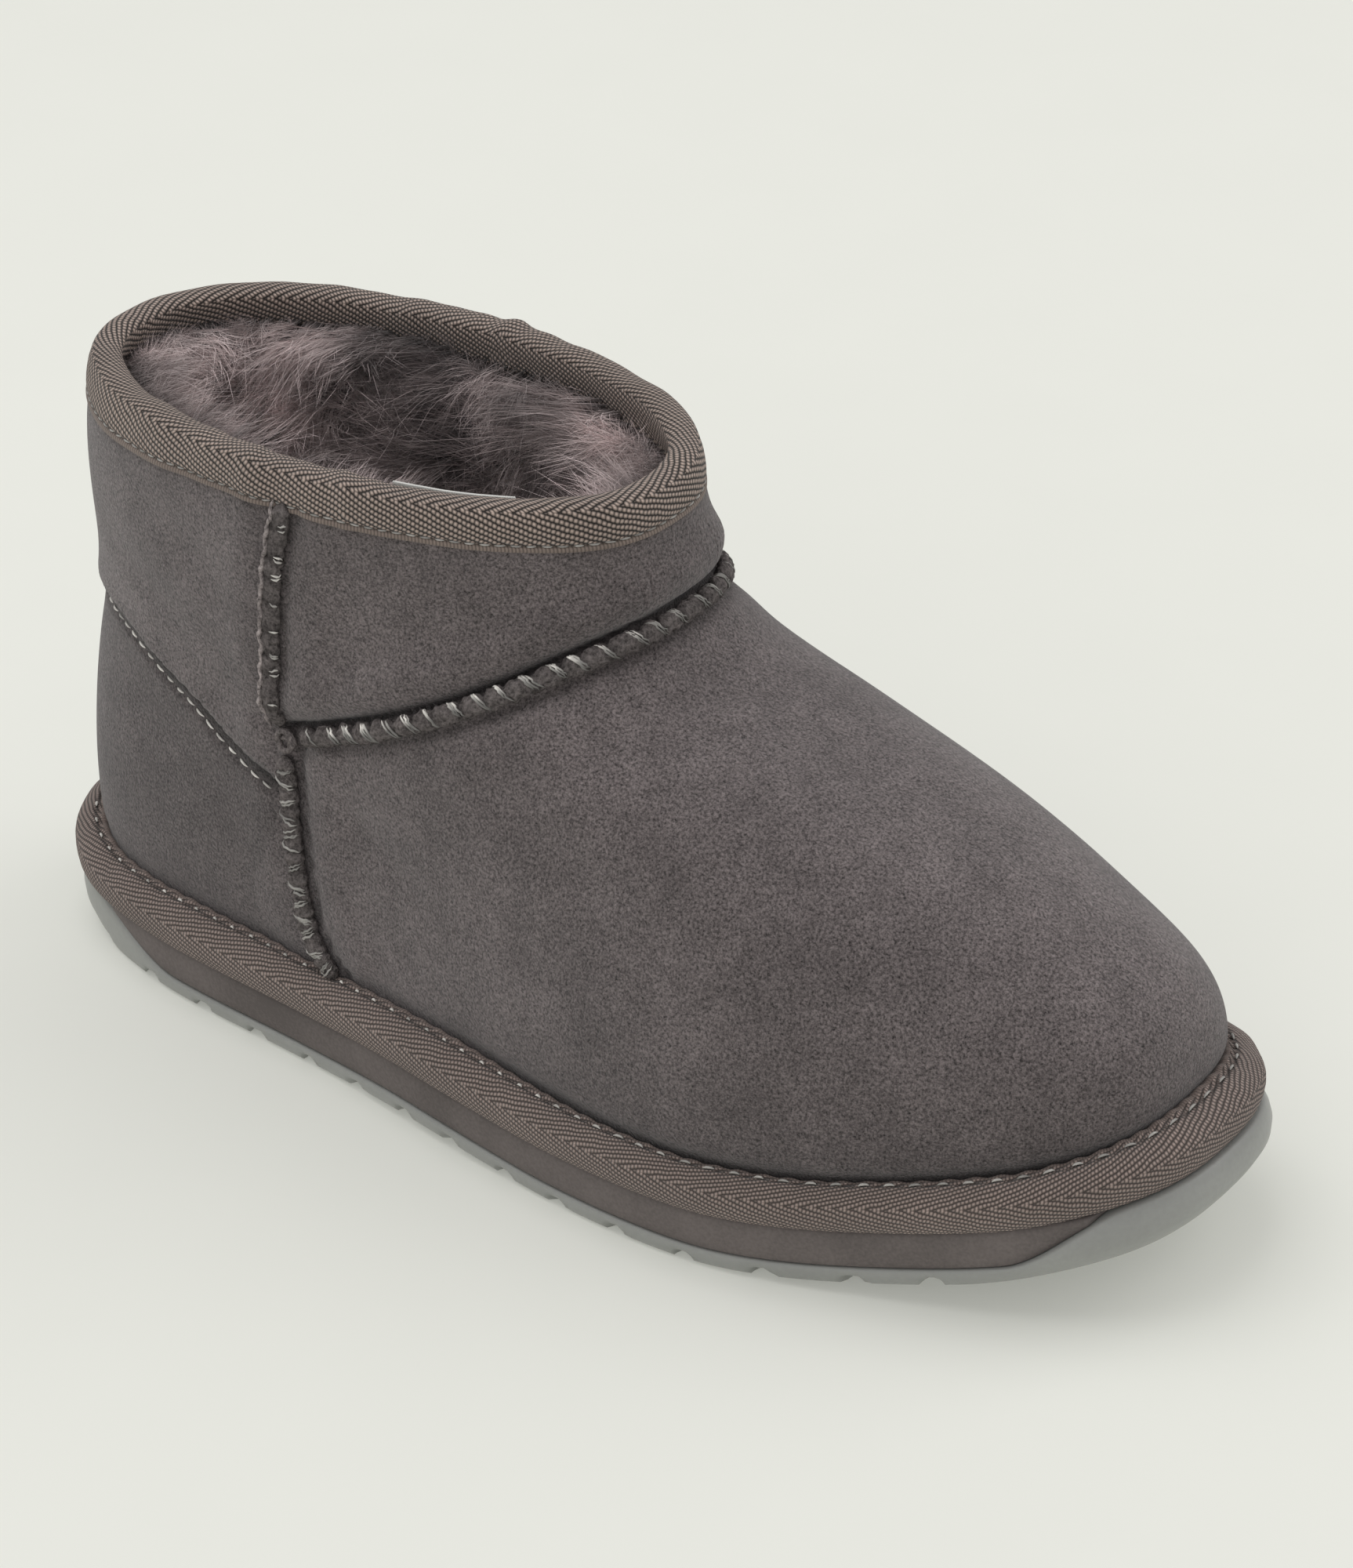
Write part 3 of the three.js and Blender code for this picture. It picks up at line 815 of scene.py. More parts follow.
RIM_UNDER_TAPE = 0.6
rim = rim_height(suede) - RIM_UNDER_TAPE
for _ in range(12):
    rim = round_collar(rim)
outer_rim = collar_ring(skin, False, rim, np.column_stack([COLLAR_MIDDLE + rim_ways * 40, rim]))
inner_rim = collar_ring(lining_tree, True, rim, np.column_stack([COLLAR_MIDDLE + rim_ways * 34, rim]))
outer_rim, inner_rim = [round_collar(round_collar(r)) for r in (outer_rim, inner_rim)]
rim_length = np.linalg.norm(np.roll(outer_rim, -1, 0) - outer_rim, axis=1)
rim_reach = np.concatenate([[0], np.cumsum(rim_length)])
back_share = fade(-(outer_rim[:, 0]), 62, 112)
outside_drop = BINDING_OUTSIDE + BINDING_EXTRA * back_share
wave = 0.35 * np.sin(rim_turns * 9 + 1) + 0.25 * np.sin(rim_turns * 17 + 2.1)
wave += 0.15 * np.sin(rim_turns * 31)

OUTSIDE = [
    {"down": 1.0, "proud": -0.6},
    {"down": 1.0, "proud": 0.35},
    {"down": 0.97, "proud": 0.7},
    {"down": 0.91, "proud": 0.8},
    {"down": 0.86, "proud": 0.72},
    {"down": 0.81, "proud": 0.42},
    {"down": 0.76, "proud": 0.75},
    {"down": 0.68, "proud": 1.05},
    {"down": 0.55, "proud": 1.25},
    {"down": 0.4, "proud": 1.4},
    {"down": 0.22, "proud": 1.5},
]
INSIDE = [
    {"down": 0.2, "proud": 1.4},
    {"down": 0.4, "proud": 1.25},
    {"down": 0.6, "proud": 1.1},
    {"down": 0.8, "proud": 0.95},
    {"down": 0.93, "proud": 0.8},
    {"down": 1.0, "proud": 0.3},
    {"down": 1.0, "proud": -0.6},
]
binding_rows = []
for row in OUTSIDE:
    drop = outside_drop * row["down"]
    ring = collar_ring(skin, False, rim - drop, outer_rim)
    ring[:, :2] += rim_ways * row["proud"]
    binding_rows.append(round_collar(round_collar(ring)))
across = outer_rim - inner_rim
across[:, 2] = 0
width = np.linalg.norm(across, axis=1, keepdims=True)
across = across / width
middle_rim = (outer_rim + inner_rim) / 2
for turn in np.linspace(0.12, 0.88, 9) * math.pi:
    half_width = width[:, 0] / 2 + TAPE_PROUD + 0.25
    ring = middle_rim + across * (half_width * math.cos(turn))[:, None]
    ring[:, 2] += 2.6 * math.sin(turn) ** 0.8 + 0.5 * wave - 0.8
    binding_rows.append(ring)
for row in INSIDE:
    ring = collar_ring(lining_tree, True, rim - BINDING_INSIDE * row["down"], inner_rim)
    ring[:, :2] -= rim_ways * row["proud"]
    binding_rows.append(round_collar(round_collar(ring)))
binding_rows = np.array(binding_rows)

# The tape rises where its own ends are joined, on the inner side, and less on the outer side.
over_seam = hill(outer_rim[:, 0], -57, 3) * (outer_rim[:, 1] > 0)
over_seam += 0.7 * hill(outer_rim[:, 0], -44, 2.2) * (outer_rim[:, 1] < 0)
binding_rows[8:-5, :, 2] += 0.9 * over_seam
binding_rows[:20, :, :2] += rim_ways * (0.7 * over_seam)[:, None]
binding_rows[:, :, :2] += rim_ways * (0.3 * np.sin(rim_turns * 13 + 0.5) * np.sin(rim_turns * 5))[:, None]


def tape_piece(name, rows, reach):
    """A closed strip of tape from its rows, with a UV map in millimetres along it and across it."""
    steps = rows.shape[1]
    across = np.linalg.norm(np.diff(rows, axis=0), axis=2).mean(axis=1)
    across = np.concatenate([[0], np.cumsum(across)])
    faces = band_faces(len(rows), steps, False)
    j, i = np.meshgrid(np.arange(len(rows) - 1), np.arange(steps), indexing="ij")
    corners = [(i, j), (i + 1, j), (i + 1, j + 1), (i, j + 1)]
    uv = np.stack([np.stack([reach[a], across[b]], -1) for a, b in corners], -2)
    return mesh_piece(name, rows.reshape(-1, 3), faces, uv.reshape(-1, 2)), across


binding, binding_across = tape_piece("collar_tape", binding_rows, rim_reach)

# The weave: twill ribs that lean one way in one half of the tape and the other way in the other half.
# Each rib is crossed by yarns, and every other rib's yarns are half a yarn farther on.
herringbone, ends_in, ends_out = effect(
    "herringbone_weave",
    [
        ("Along", FLOAT, 0.0),
        ("Across", FLOAT, 0.0),
        ("Middle", FLOAT, 10.0),
        ("Turnback", FLOAT, 7.0),
        ("Lean", FLOAT, 24.0),
        ("Rib", FLOAT, 1.1),
        ("Yarn", FLOAT, 0.8),
    ],
    [("Height", FLOAT)],
)
given = ends_in.outputs


def weave_step(operation, first, second=0.0):
    """One arithmetic step of the weave."""
    return maths(herringbone, operation, first, second)


def wave_of(place, power):
    """Rounded ridges with one ridge to each whole number of a place."""
    ridges = weave_step("ABSOLUTE", weave_step("SINE", weave_step("MULTIPLY", place, math.pi)))
    return weave_step("POWER", ridges, power)


from_middle = weave_step("SUBTRACT", given["Across"], given["Middle"])
from_middle = weave_step("PINGPONG", from_middle, given["Turnback"])
lean = weave_step("MULTIPLY", given["Lean"], math.pi / 180)
sine, cosine = weave_step("SINE", lean), weave_step("COSINE", lean)
over_ribs = weave_step("MULTIPLY", from_middle, cosine)
over_ribs = weave_step("SUBTRACT", over_ribs, weave_step("MULTIPLY", given["Along"], sine))
rib_place = weave_step("DIVIDE", over_ribs, given["Rib"])
along_ribs = weave_step("MULTIPLY", given["Along"], cosine)
along_ribs = weave_step("ADD", along_ribs, weave_step("MULTIPLY", from_middle, sine))
yarn_place = weave_step("DIVIDE", along_ribs, given["Yarn"])
rib_shift = weave_step("MULTIPLY", weave_step("FLOOR", rib_place), 0.5)
yarn = wave_of(weave_step("ADD", yarn_place, rib_shift), 1.1)
yarn_share = weave_step("ADD", weave_step("MULTIPLY", yarn, 0.8), 0.2)
height = weave_step("MULTIPLY", wave_of(rib_place, 1.2), yarn_share)
herringbone.links.new(height, ends_out.inputs["Height"])


EDGE_YARN = 0.7  # from one yarn to the next along the tape's woven edges


def tape_material(name, colour, contrast, weaving, edges, sewn_at):
    """Woven tape: its ribs and yarns in colour and in height, plain at its two woven edges."""
    made, tree, shader = new_material(name, Roughness=0.8, Specular_IOR_Level=0.25, Sheen_Weight=0.15)
    on_tape = node(tree, "ShaderNodeUVMap", uv_map="tape").outputs[0]
    split = node(tree, "ShaderNodeSeparateXYZ", {0: on_tape})
    along, over = split.outputs["X"], split.outputs["Y"]
    place = on_piece(tree)
    uneven = spread(tree, noise(tree, place, 260, 1), 0.25, 0.75, -0.22, 0.22)
    weave = use(tree, herringbone, Along=along, Across=maths(tree, "ADD", over, uneven), **weaving)
    plain = maths(tree, "LESS_THAN", over, edges[0])
    plain = maths(tree, "MAXIMUM", plain, maths(tree, "GREATER_THAN", over, edges[1]))
    fine = maths(tree, "SINE", maths(tree, "MULTIPLY", along, math.pi / EDGE_YARN))
    fine = maths(tree, "ADD", maths(tree, "ABSOLUTE", fine), 1.2)
    plain_height = maths(tree, "MULTIPLY", maths(tree, "MULTIPLY", fine, 0.19), plain)
    height = maths(tree, "MULTIPLY", weave.outputs["Height"], maths(tree, "SUBTRACT", 1.0, plain))
    height = maths(tree, "ADD", height, plain_height)
    tone = spread(tree, height, 0.1, 0.85, 1 - contrast, 1 + 1.1 * contrast)
    # Painted shade along the sewn row, where the thread pulls the tape into a groove.
    from_sewn = maths(tree, "ABSOLUTE", maths(tree, "SUBTRACT", over, sewn_at))
    tone = maths(tree, "MULTIPLY", tone, spread(tree, from_sewn, 0.15, 0.6, 0.45, 1.0))
    tone = clouded(tree, tone, place, 70, 0.93, 1.07, 3)
    tone = clouded(tree, tone, place, 1800, 0.93, 1.07)
    coloured(tree, shader, colour, tone)
    raised(tree, shader, height, 1.0, 0.0005)
    return made


SEWN_ROW = 5  # the row of the binding where the thread sinks in
crest = binding_across[len(OUTSIDE) + 4]
selvedges = (binding_across[SEWN_ROW + 1] - 0.3, binding_across[-3] - 0.4)
binding.data.materials.append(
    tape_material(
        "collar_herringbone",
        linear(138, 124, 116),
        0.92,
        {"Middle": crest - 3.4, "Turnback": 7.5, "Lean": 25.0, "Rib": 1.2, "Yarn": 0.9},
        selvedges,
        binding_across[SEWN_ROW],
    )
)
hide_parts("collar_binding")
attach(binding, "root")


# ---- Rand ----
# A soft roll covered with a finer, warmer herringbone tape. It hides the seam between upper and sole, and a
# row of short stitches holds it near its upper edge.
RAND_OUTLINE = [
    {"up": -0.2, "out": -3.0},
    {"up": 0.0, "out": -0.2},
    {"up": 0.35, "out": 0.65},
    {"up": 1.2, "out": 1.25},
    {"up": 2.3, "out": 1.65},
    {"up": 3.6, "out": 1.85},
    {"up": 5.0, "out": 1.8},
    {"up": 6.3, "out": 1.5},
    {"up": 7.2, "out": 1.15},
]
RAND_STITCH_PITCH = 5.2
toe_round = 1.6 * fade(from_heel, 240, 265)
rand_rows = []
for row in RAND_OUTLINE:
    ripple = 0.12 * np.sin(turns * 23) * np.sin(turns * 9 + 1)
    up = SOLE_THICKNESS + 0.35 + row["up"] + ripple
    rand_rows.append(sole_ring(up, row["out"] - toe_round + ripple))

# From its brim the roll goes over to the hide, and is pulled down a little at each stitch.
brim = rand_rows[-1]
brim_reach = np.concatenate([[0], np.cumsum(np.linalg.norm(np.diff(brim, axis=0), axis=1))])
to_skin = []
for spot, way in zip(brim, outline_out):
    start, aim = Vector((*(spot[:2] + way * 12), spot[2] + 2.4)), Vector((*-way, 0))
    hit = skin.ray_cast(start, aim)[0]
    to_skin.append(list(hit) if hit else list(spot - np.array([*way, 0]) * 2))
to_skin = np.array(to_skin)
ROLL_OVER = [
    {"share": 0.16, "rise": 0.95, "sink": 0.0},
    {"share": 0.32, "rise": 1.75, "sink": 0.0},
    {"share": 0.5, "rise": 2.4, "sink": 0.0},
    {"share": 0.62, "rise": 2.7, "sink": 0.15},
    {"share": 0.7, "rise": 2.8, "sink": 0.5},
    {"share": 0.78, "rise": 2.9, "sink": 0.15},
    {"share": 0.9, "rise": 2.95, "sink": 0.0},
    {"share": 1.0, "rise": 2.3, "sink": 0.0},
]
for row in ROLL_OVER:
    ring = brim + (to_skin - brim) * row["share"]
    scallop = 0.5 + 0.5 * np.cos(2 * math.pi * brim_reach / RAND_STITCH_PITCH)
    ring[:, 2] = brim[:, 2] + row["rise"] - row["sink"] - 0.5 * scallop * fade(row["share"], 0.4, 0.9)
    rand_rows.append(ring)
ring = to_skin - np.column_stack([outline_out, np.zeros(AROUND)]) * 1.2
ring[:, 2] = brim[:, 2] + 1.0
rand_rows.append(ring)
rand_rows = np.array(rand_rows)
rand_step = np.linalg.norm(np.roll(rand_rows[5], -1, 0) - rand_rows[5], axis=1)
rand_reach = np.concatenate([[0], np.cumsum(rand_step)])
rand, rand_across = tape_piece("rand_tape", rand_rows, rand_reach)
RAND_SEWN = 12  # the row where the thread sinks in
selvedges = (rand_across[1], rand_across[RAND_SEWN + 2] + 0.2)
rand.data.materials.append(
    tape_material(
        "rand_herringbone",
        linear(132, 118, 112),
        0.72,
        {"Middle": rand_across[7], "Turnback": 9.0, "Lean": 17.0, "Rib": 0.95, "Yarn": 0.8},
        selvedges,
        rand_across[RAND_SEWN],
    )
)
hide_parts("rand")
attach(rand, "root")


# ---- Seams ----
# The panels are whipped together edge to edge with thick thread: the instep seam stands up as a scalloped
# cord, the side seams are flatter, and the heel seam is a folded edge sewn down.
def frames_on(path, surface):
    """Along, across and outward directions at each place of a line on the skin."""
    _, out = on_skin(path, surface)
    along = np.gradient(path, axis=0)
    for _ in range(6):
        out[1:-1] = (out[:-2] + 2 * out[1:-1] + out[2:]) / 4
    along = along / np.linalg.norm(along, axis=1, keepdims=True)
    across = np.cross(out, along)
    across = across / np.linalg.norm(across, axis=1, keepdims=True)
    return along, across, np.cross(along, across)


def gathered(name, parts):
    """One mesh object from many small ones, each given as points, faces and how light it is."""
    points, faces, lights, start = [], [], [], 0
    for part_points, part_faces, light in parts:
        points.append(part_points)
        lights.append(np.broadcast_to(light, len(part_points)))
        faces += [[corner + start for corner in face] for face in part_faces]
        start += len(part_points)
    piece = mesh_piece(name, np.concatenate(points), faces)
    painted(piece, "light", np.concatenate(lights))
    return piece


def swept(rings):
    """Points and faces of a closed skin over a row of rings, with its two ends closed."""
    count, around = rings.shape[:2]
    faces = band_faces(count, around, False).tolist()
    ends = [list(range(around))[::-1], list(range((count - 1) * around, count * around))]
    return rings.reshape(-1, 3), faces + ends


def tube(path, across, out, wide, tall, sides):
    """Rings of an oval tube along a path."""
    angle = np.linspace(0, 2 * math.pi, sides, endpoint=False)
    wide = np.broadcast_to(wide, len(path))[:, None, None]
    tall = np.broadcast_to(tall, len(path))[:, None, None]
    ring = across[:, None] * np.cos(angle)[None, :, None] * wide
    return path[:, None] + ring + out[:, None] * np.sin(angle)[None, :, None] * tall


def settled(path, rounds):
    """A line moved straight in or out onto the shaped skin, and evened out."""
    _, out = on_skin(path, skin_before)
    ends = zip(path + out * 8, out)
    hits = [skin.ray_cast(Vector(start), Vector(-way), 20)[0] for start, way in ends]
    path = np.array([list(hit) if hit else list(p) for hit, p in zip(hits, path)])
    for _ in range(rounds):
        path[1:-1] = (path[:-2] + 2 * path[1:-1] + path[2:]) / 4
    return path


chance = np.random.default_rng(11)
cord_parts, thread_parts = [], []
CORD_STEP = 0.45
CORD_SIDES = 14
PINCH_SHIFT = 1.6  # how far a pinch draws the cord to one side, for a pinch of 1
CORDS = {
    "instep": dict(lump=5.3, wide=2.2, tall=1.7, lift=0.8, pinch=0.34, slant=1.7, skip=(5, 5)),
    "lower": dict(lump=3.6, wide=2.3, tall=1.7, lift=0.9, pinch=0.36, slant=0.9, skip=(6, 0)),
    "upper": dict(lump=5.5, wide=2.2, tall=1.1, lift=0.8, pinch=0.12, slant=0.5, skip=(0, 5)),
}


def tapered(count, steps, least):
    """1 along a row of places, falling towards the least at its two ends."""
    from_start = np.arange(count)
    return np.minimum(1, np.minimum(from_start, from_start[::-1]) / steps + least)


def whip(cord, kind, path, across, out, size, pinch, at, lean):
    """One thread laid over a cord, from places along it and how far each is over to the side."""
    k = np.clip((at / CORD_STEP).astype(int), 0, len(path) - 1)
    angle = math.pi / 2 * (1 - lean * 0.98)
    wide, tall = cord["wide"] * size[k] * 0.97 + 0.1, cord["tall"] * size[k] + 0.12
    shift = pinch[k] * cord["pinch"] * PINCH_SHIFT
    sweep = path[k] + across[k] * (np.cos(angle) * wide - shift)[:, None]
    sweep = sweep + out[k] * (np.sin(angle) * tall)[:, None]
    turn = np.gradient(sweep, axis=0)
    turn = turn / np.linalg.norm(turn, axis=1, keepdims=True)
    side = np.cross(turn, out[k])
    side = side / np.linalg.norm(side, axis=1, keepdims=True)
    thick = chance.uniform(0.2, 0.32) * tapered(len(k), 2.5, 0.25)
    gleam = chance.uniform(0.3, 0.8) if kind == "upper" else 0.1 + chance.uniform(0.05, 0.35)
    # On the instep the threads are painted brighter from the cord's top to its upper edge, as a highlight,
    # and are dimmer and thinner towards the inner side.
    if kind == "instep":
        outer_side_share = 0.25 + 0.75 * fade(-path[k][:, 1], -8, 20)
        gleam = 0.1 + chance.uniform(0.4, 1.5) * fade(lean, 0.0, 0.7) * outer_side_share
        thick = thick * (0.5 + 0.5 * outer_side_share)
    points, faces = swept(tube(sweep, side, np.cross(turn, side), thick, thick, 5))
    return points, faces, np.repeat(np.broadcast_to(gleam, len(k)), 5)


for seam in ("instep", "lower_outer", "lower_inner", "upper_outer", "upper_inner"):
    kind = seam.split("_")[0]
    cord = CORDS[kind]
    path = settled(smooth_curve(seams[seam][::4], CORD_STEP), 24)
    path = path[cord["skip"][0] : len(path) - cord["skip"][1]]
    along, across, out = frames_on(path, skin_before)
    across = -across if seam.endswith("outer") else across
    path = path + out * cord["lift"]
    reach = np.arange(len(path)) * CORD_STEP

    # The body: lumps between the places where the thread pinches it, a little rough all over, and painted
    # darker in each pinch as shade.
    uneven = 0.5 * np.sin(reach * 0.37) + 0.3 * np.sin(reach * 0.83 + 1)
    pinch = 1 - np.abs(np.sin(math.pi * (reach + uneven) / cord["lump"])) ** 0.6
    ends = tapered(len(path), 5, 0.15)
    rough = 1 + 0.06 * np.sin(reach * 1.9) * np.sin(reach * 0.7 + 1)
    size = (1 - cord["pinch"] * pinch) * ends * rough
    path = path + across * (0.4 if kind == "instep" else 0)
    rings = tube(path, across, out, cord["wide"] * size, cord["tall"] * size, CORD_SIDES)
    swell = [rough_noise.noise(Vector(p) * 0.9) for p in rings.reshape(-1, 3)]
    swell = np.array(swell).reshape(rings.shape[:2])
    rings += (rings - path[:, None]) * (0.3 * swell)[:, :, None]
    rings -= (across * (pinch * cord["pinch"] * PINCH_SHIFT)[:, None])[:, None]
    light = (0.9 if kind == "upper" else 1.05) - 0.5 * pinch
    cord_parts.append((*swept(rings), np.repeat(light, CORD_SIDES)))

    # Up the shaft the cord is flat, and the pale cut edge of the hide shows beside it.
    if kind == "upper":
        edge = path + across * 2.1 + out * 0.45
        edge = edge + across * (0.4 * np.sin(reach * 1.3) * np.sin(reach * 0.45))[:, None]
        raw = 0.5 * ends * (1 + 0.35 * np.sin(reach * 2.6) * np.sin(reach * 0.9))
        cord_parts.append((*swept(tube(edge, across, out, raw, 1.3 * raw, 8)), 2.3))

    # The threads: two or three side by side in each pinch, some of them hidden by the nap.
    for number, centre in enumerate(np.arange(cord["lump"], reach[-1] - 2, cord["lump"])):
        slant = cord["slant"] if kind == "instep" or number % 2 else -cord["slant"]
        middle = centre - 0.5 * math.sin(centre * 0.37) - 0.3 * math.sin(centre * 0.83 + 1)
        for offset in (-0.36, 0.36) if kind == "upper" else (-0.55, 0, 0.55):
            if chance.random() < 0.15:
                continue
            low = chance.uniform(-0.9, -0.2 if kind == "instep" else -0.75)
            lean = np.linspace(-0.95, -0.15, 5) if kind == "upper" else np.linspace(low, 1, 9)
            at = middle + offset + slant * -lean + chance.normal(0, 0.15)
            thread_parts.append(whip(cord, kind, path, across, out, size, pinch, at, lean))

# Where the instep cord meets each side seam, its end is tucked into a small curl.
CURL_CENTRE = (-58.8, -31, 72.5)
CURL_STEPS = 40
wind = np.linspace(0, 2.8 * math.pi, CURL_STEPS)
for centre in (CURL_CENTRE, inner_twin(CURL_CENTRE)):
    radius = 2.7 - 0.22 * wind
    ring = np.column_stack([radius * np.cos(wind), 0 * wind, 1.2 * radius * np.sin(wind)])
    ring = np.array(centre) + ring
    ring, _ = on_skin(ring, skin_before)
    along, across, out = frames_on(ring, skin_before)
    ring = ring + out * np.linspace(2.5, 1.9, CURL_STEPS)[:, None]
    cord_parts.append((*swept(tube(ring, across, out, 0.58, 0.9, 8)), 1.5))
seam_cords = gathered("seam_cords", cord_parts)
outward_faces(seam_cords)

# One stitch of thread is modelled once and copied along each sewn row.
bpy.ops.object.select_all(action="DESELECT")
bpy.ops.mesh.primitive_uv_sphere_add(segments=6, ring_count=6, radius=0.5, rotation=(0, math.pi / 2, 0))
one_stitch = bpy.context.active_object
bpy.ops.object.transform_apply(location=True, rotation=True, scale=True)
bpy.ops.object.mode_set(mode="EDIT")
bpy.ops.mesh.select_all(action="SELECT")
bpy.ops.transform.resize(value=(1.0, 0.9, 0.8))
bpy.ops.object.mode_set(mode="OBJECT")
stitch_points = np.array([v.co for v in one_stitch.data.vertices])
stitch_faces = [list(f.vertices) for f in one_stitch.data.polygons]
bpy.data.objects.remove(one_stitch)


def sewn_row(path, frames, first, pitch, length, width, lift, light):
    """Copies of the stitch along a line of evenly spaced places, each with its own length."""
    along, across, out = frames
    parts = []
    length = np.broadcast_to(length, len(path))
    for centre in np.arange(first, (len(path) - 1) * SEWN_STEP - pitch / 2, pitch):
        k = int(centre / SEWN_STEP)
        size = length[k] * chance.uniform(0.88, 1.1)
        shape = stitch_points * (size, width, width)
        dip = (np.abs(shape[:, 0]) / (size / 2)) ** 3 * width * 0.5
        yaw = chance.normal(0, 0.06)
        sway = shape[:, 1] + shape[:, 0] * yaw
        points = path[k] + np.outer(shape[:, 0], along[k]) + np.outer(sway, across[k])
        points = points + np.outer(shape[:, 2] - dip + lift, out[k])
        parts.append((points, stitch_faces, light * (1.4 - 0.35 * size) * chance.uniform(0.6, 1.3)))
    return parts


def evened(path, step):
    """A closed ring as evenly spaced places, with its first place repeated at the end."""
    path = np.concatenate([path, path[:1]])
    reach = np.concatenate([[0], np.cumsum(np.linalg.norm(np.diff(path, axis=0), axis=1))])
    at = np.arange(0, reach[-1], step)
    return np.column_stack([np.interp(at, reach, path[:, k]) for k in range(3)])


SEWN_STEP = 0.5
HEEL_ROW_DOWN = 3.9  # from the folded edge down to its row of stitches
SEWN_TAPES = [
    {"pitch": 3.0, "short": 2.2, "long": 2.2, "width": 0.5, "lift": 0.22, "light": 0.5},
    {"pitch": RAND_STITCH_PITCH, "short": 1.2, "long": 2.4, "width": 0.7, "lift": 0.4, "light": 0.8},
]
for tape, rows, sewn in zip(SEWN_TAPES, (binding_rows, rand_rows), (SEWN_ROW, RAND_SEWN)):
    ring = evened(rows[sewn], SEWN_STEP)
    length = tape["short"] + (tape["long"] - tape["short"]) * fade(ring[:, 0], -5, 40)
    along = np.gradient(ring, axis=0)
    along = along / np.linalg.norm(along, axis=1, keepdims=True)
    finder = KDTree(len(rows[sewn]))
    for k, p in enumerate(rows[sewn]):
        finder.insert(Vector(p), k)
    finder.balance()
    nearest = [finder.find(Vector(p))[1] for p in ring]
    over = rows[sewn - 1] - rows[sewn + 1]
    across = (over / np.linalg.norm(over, axis=1, keepdims=True))[nearest]
    out = np.cross(along, across)
    outwards = np.column_stack([ring[:, :2] - ring[:, :2].mean(0), np.zeros(len(ring))])
    outwards[:, 2] = 0.5 * np.linalg.norm(outwards, axis=1)
    out = out * np.sign(np.einsum("ij,ij->i", out, outwards))[:, None]
    sewing = (1.0, tape["pitch"], length, tape["width"], tape["lift"], tape["light"])
    thread_parts += sewn_row(ring, (along, across, out), *sewing)

# The heel panel's row of stitches runs along below its folded edge.
path = smooth_curve(seams["heel"][::4], SEWN_STEP)
_, across, _ = frames_on(path, skin_before)
down = np.where(across[:, 2:3] > 0, -across, across)
dashes = settled(path + down * HEEL_ROW_DOWN, 10)
thread_parts += sewn_row(dashes, frames_on(dashes, skin), 1.5, 3.5, 2.5, 0.65, 0.25, 1.7)
threads = gathered("seam_threads", thread_parts)
outward_faces(threads)

cord_suede, tree, shader = new_material("seam_suede", Roughness=0.9, Specular_IOR_Level=0.15)
place_node = on_piece(tree)
fuzz = noise(tree, place_node, 1100, 3, 0.7)
tone = clouded(tree, spread(tree, fuzz, 0.3, 0.7, 0.3, 1.7), place_node, 200, 0.85, 1.15)
tone = maths(tree, "MULTIPLY", tone, painted_tone(tree, "light"))
coloured(tree, shader, linear(103, 97, 96), tone)
raised(tree, shader, fuzz, 1.0, 0.001)
seam_cords.data.materials.append(cord_suede)
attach(seam_cords, "root")

thread, tree, shader = new_material("sewing_thread", Roughness=0.35, Specular_IOR_Level=0.6)
place_node = on_piece(tree)
tone = spread(tree, painted_tone(tree, "light"), 0.0, 1.2, 0.12, 1.15)
coloured(tree, shader, linear(232, 228, 222), clouded(tree, tone, place_node, 900, 0.8, 1.2))
twist = node(tree, "ShaderNodeTexWave", {"Vector": place_node, "Scale": 1500.0, "Distortion": 2.0})
raised(tree, shader, twist.outputs["Fac"], 0.3, 0.0001)
threads.data.materials.append(thread)
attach(threads, "root")


# ---- Inner label ----
# A plain satin-woven label, sewn in under the binding on the outer side and left bare. It hangs down over
# the pile, which pushes it off the wall.
LABEL_FROM, LABEL_TO = -38.0, -14.0  # X of its two ends
LABEL_DROP = 21.0
bpy.ops.object.select_all(action="DESELECT")
bpy.ops.mesh.primitive_grid_add(x_subdivisions=20, y_subdivisions=14, size=1)
label = bpy.context.active_object
label.name = label.data.name = "inner_label"
place, _ = places_of(label)
label_along = LABEL_FROM + (LABEL_TO - LABEL_FROM) * (place[:, 0] * MM + 0.5)
hang = 0.5 - place[:, 1] * MM
inner_row = binding_rows[-7]
near_wall = inner_row[inner_row[:, 1] < COLLAR_MIDDLE[1]]
near_wall = near_wall[np.argsort(near_wall[:, 0])]
label_y = np.interp(label_along, near_wall[:, 0], near_wall[:, 1]) + 1.4 + 5.0 * hang**0.8
label_y += 0.5 * np.sin(label_along * 0.45) * hang
label_z = np.interp(label_along, near_wall[:, 0], near_wall[:, 2]) + 2.1 - LABEL_DROP * hang
put_back(label, np.column_stack([label_along, label_y, label_z]))
thickened = label.modifiers.new("thickness", "SOLIDIFY")
thickened.thickness = 0.4 * MM
bpy.ops.object.modifier_apply(modifier=thickened.name)
label.data.shade_smooth()
satin, tree, shader = new_material("satin_label", Roughness=0.45, Specular_IOR_Level=0.4)
ribbing = node(tree, "ShaderNodeTexWave", {"Vector": on_piece(tree), "Scale": 700.0, "Distortion": 0.6})
tone = spread(tree, ribbing.outputs["Fac"], 0.0, 1.0, 0.9, 1.04)
coloured(tree, shader, linear(222, 222, 218), tone)
raised(tree, shader, ribbing.outputs["Fac"], 0.4, 0.0002)
label.data.materials.append(satin)
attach(label, "root")
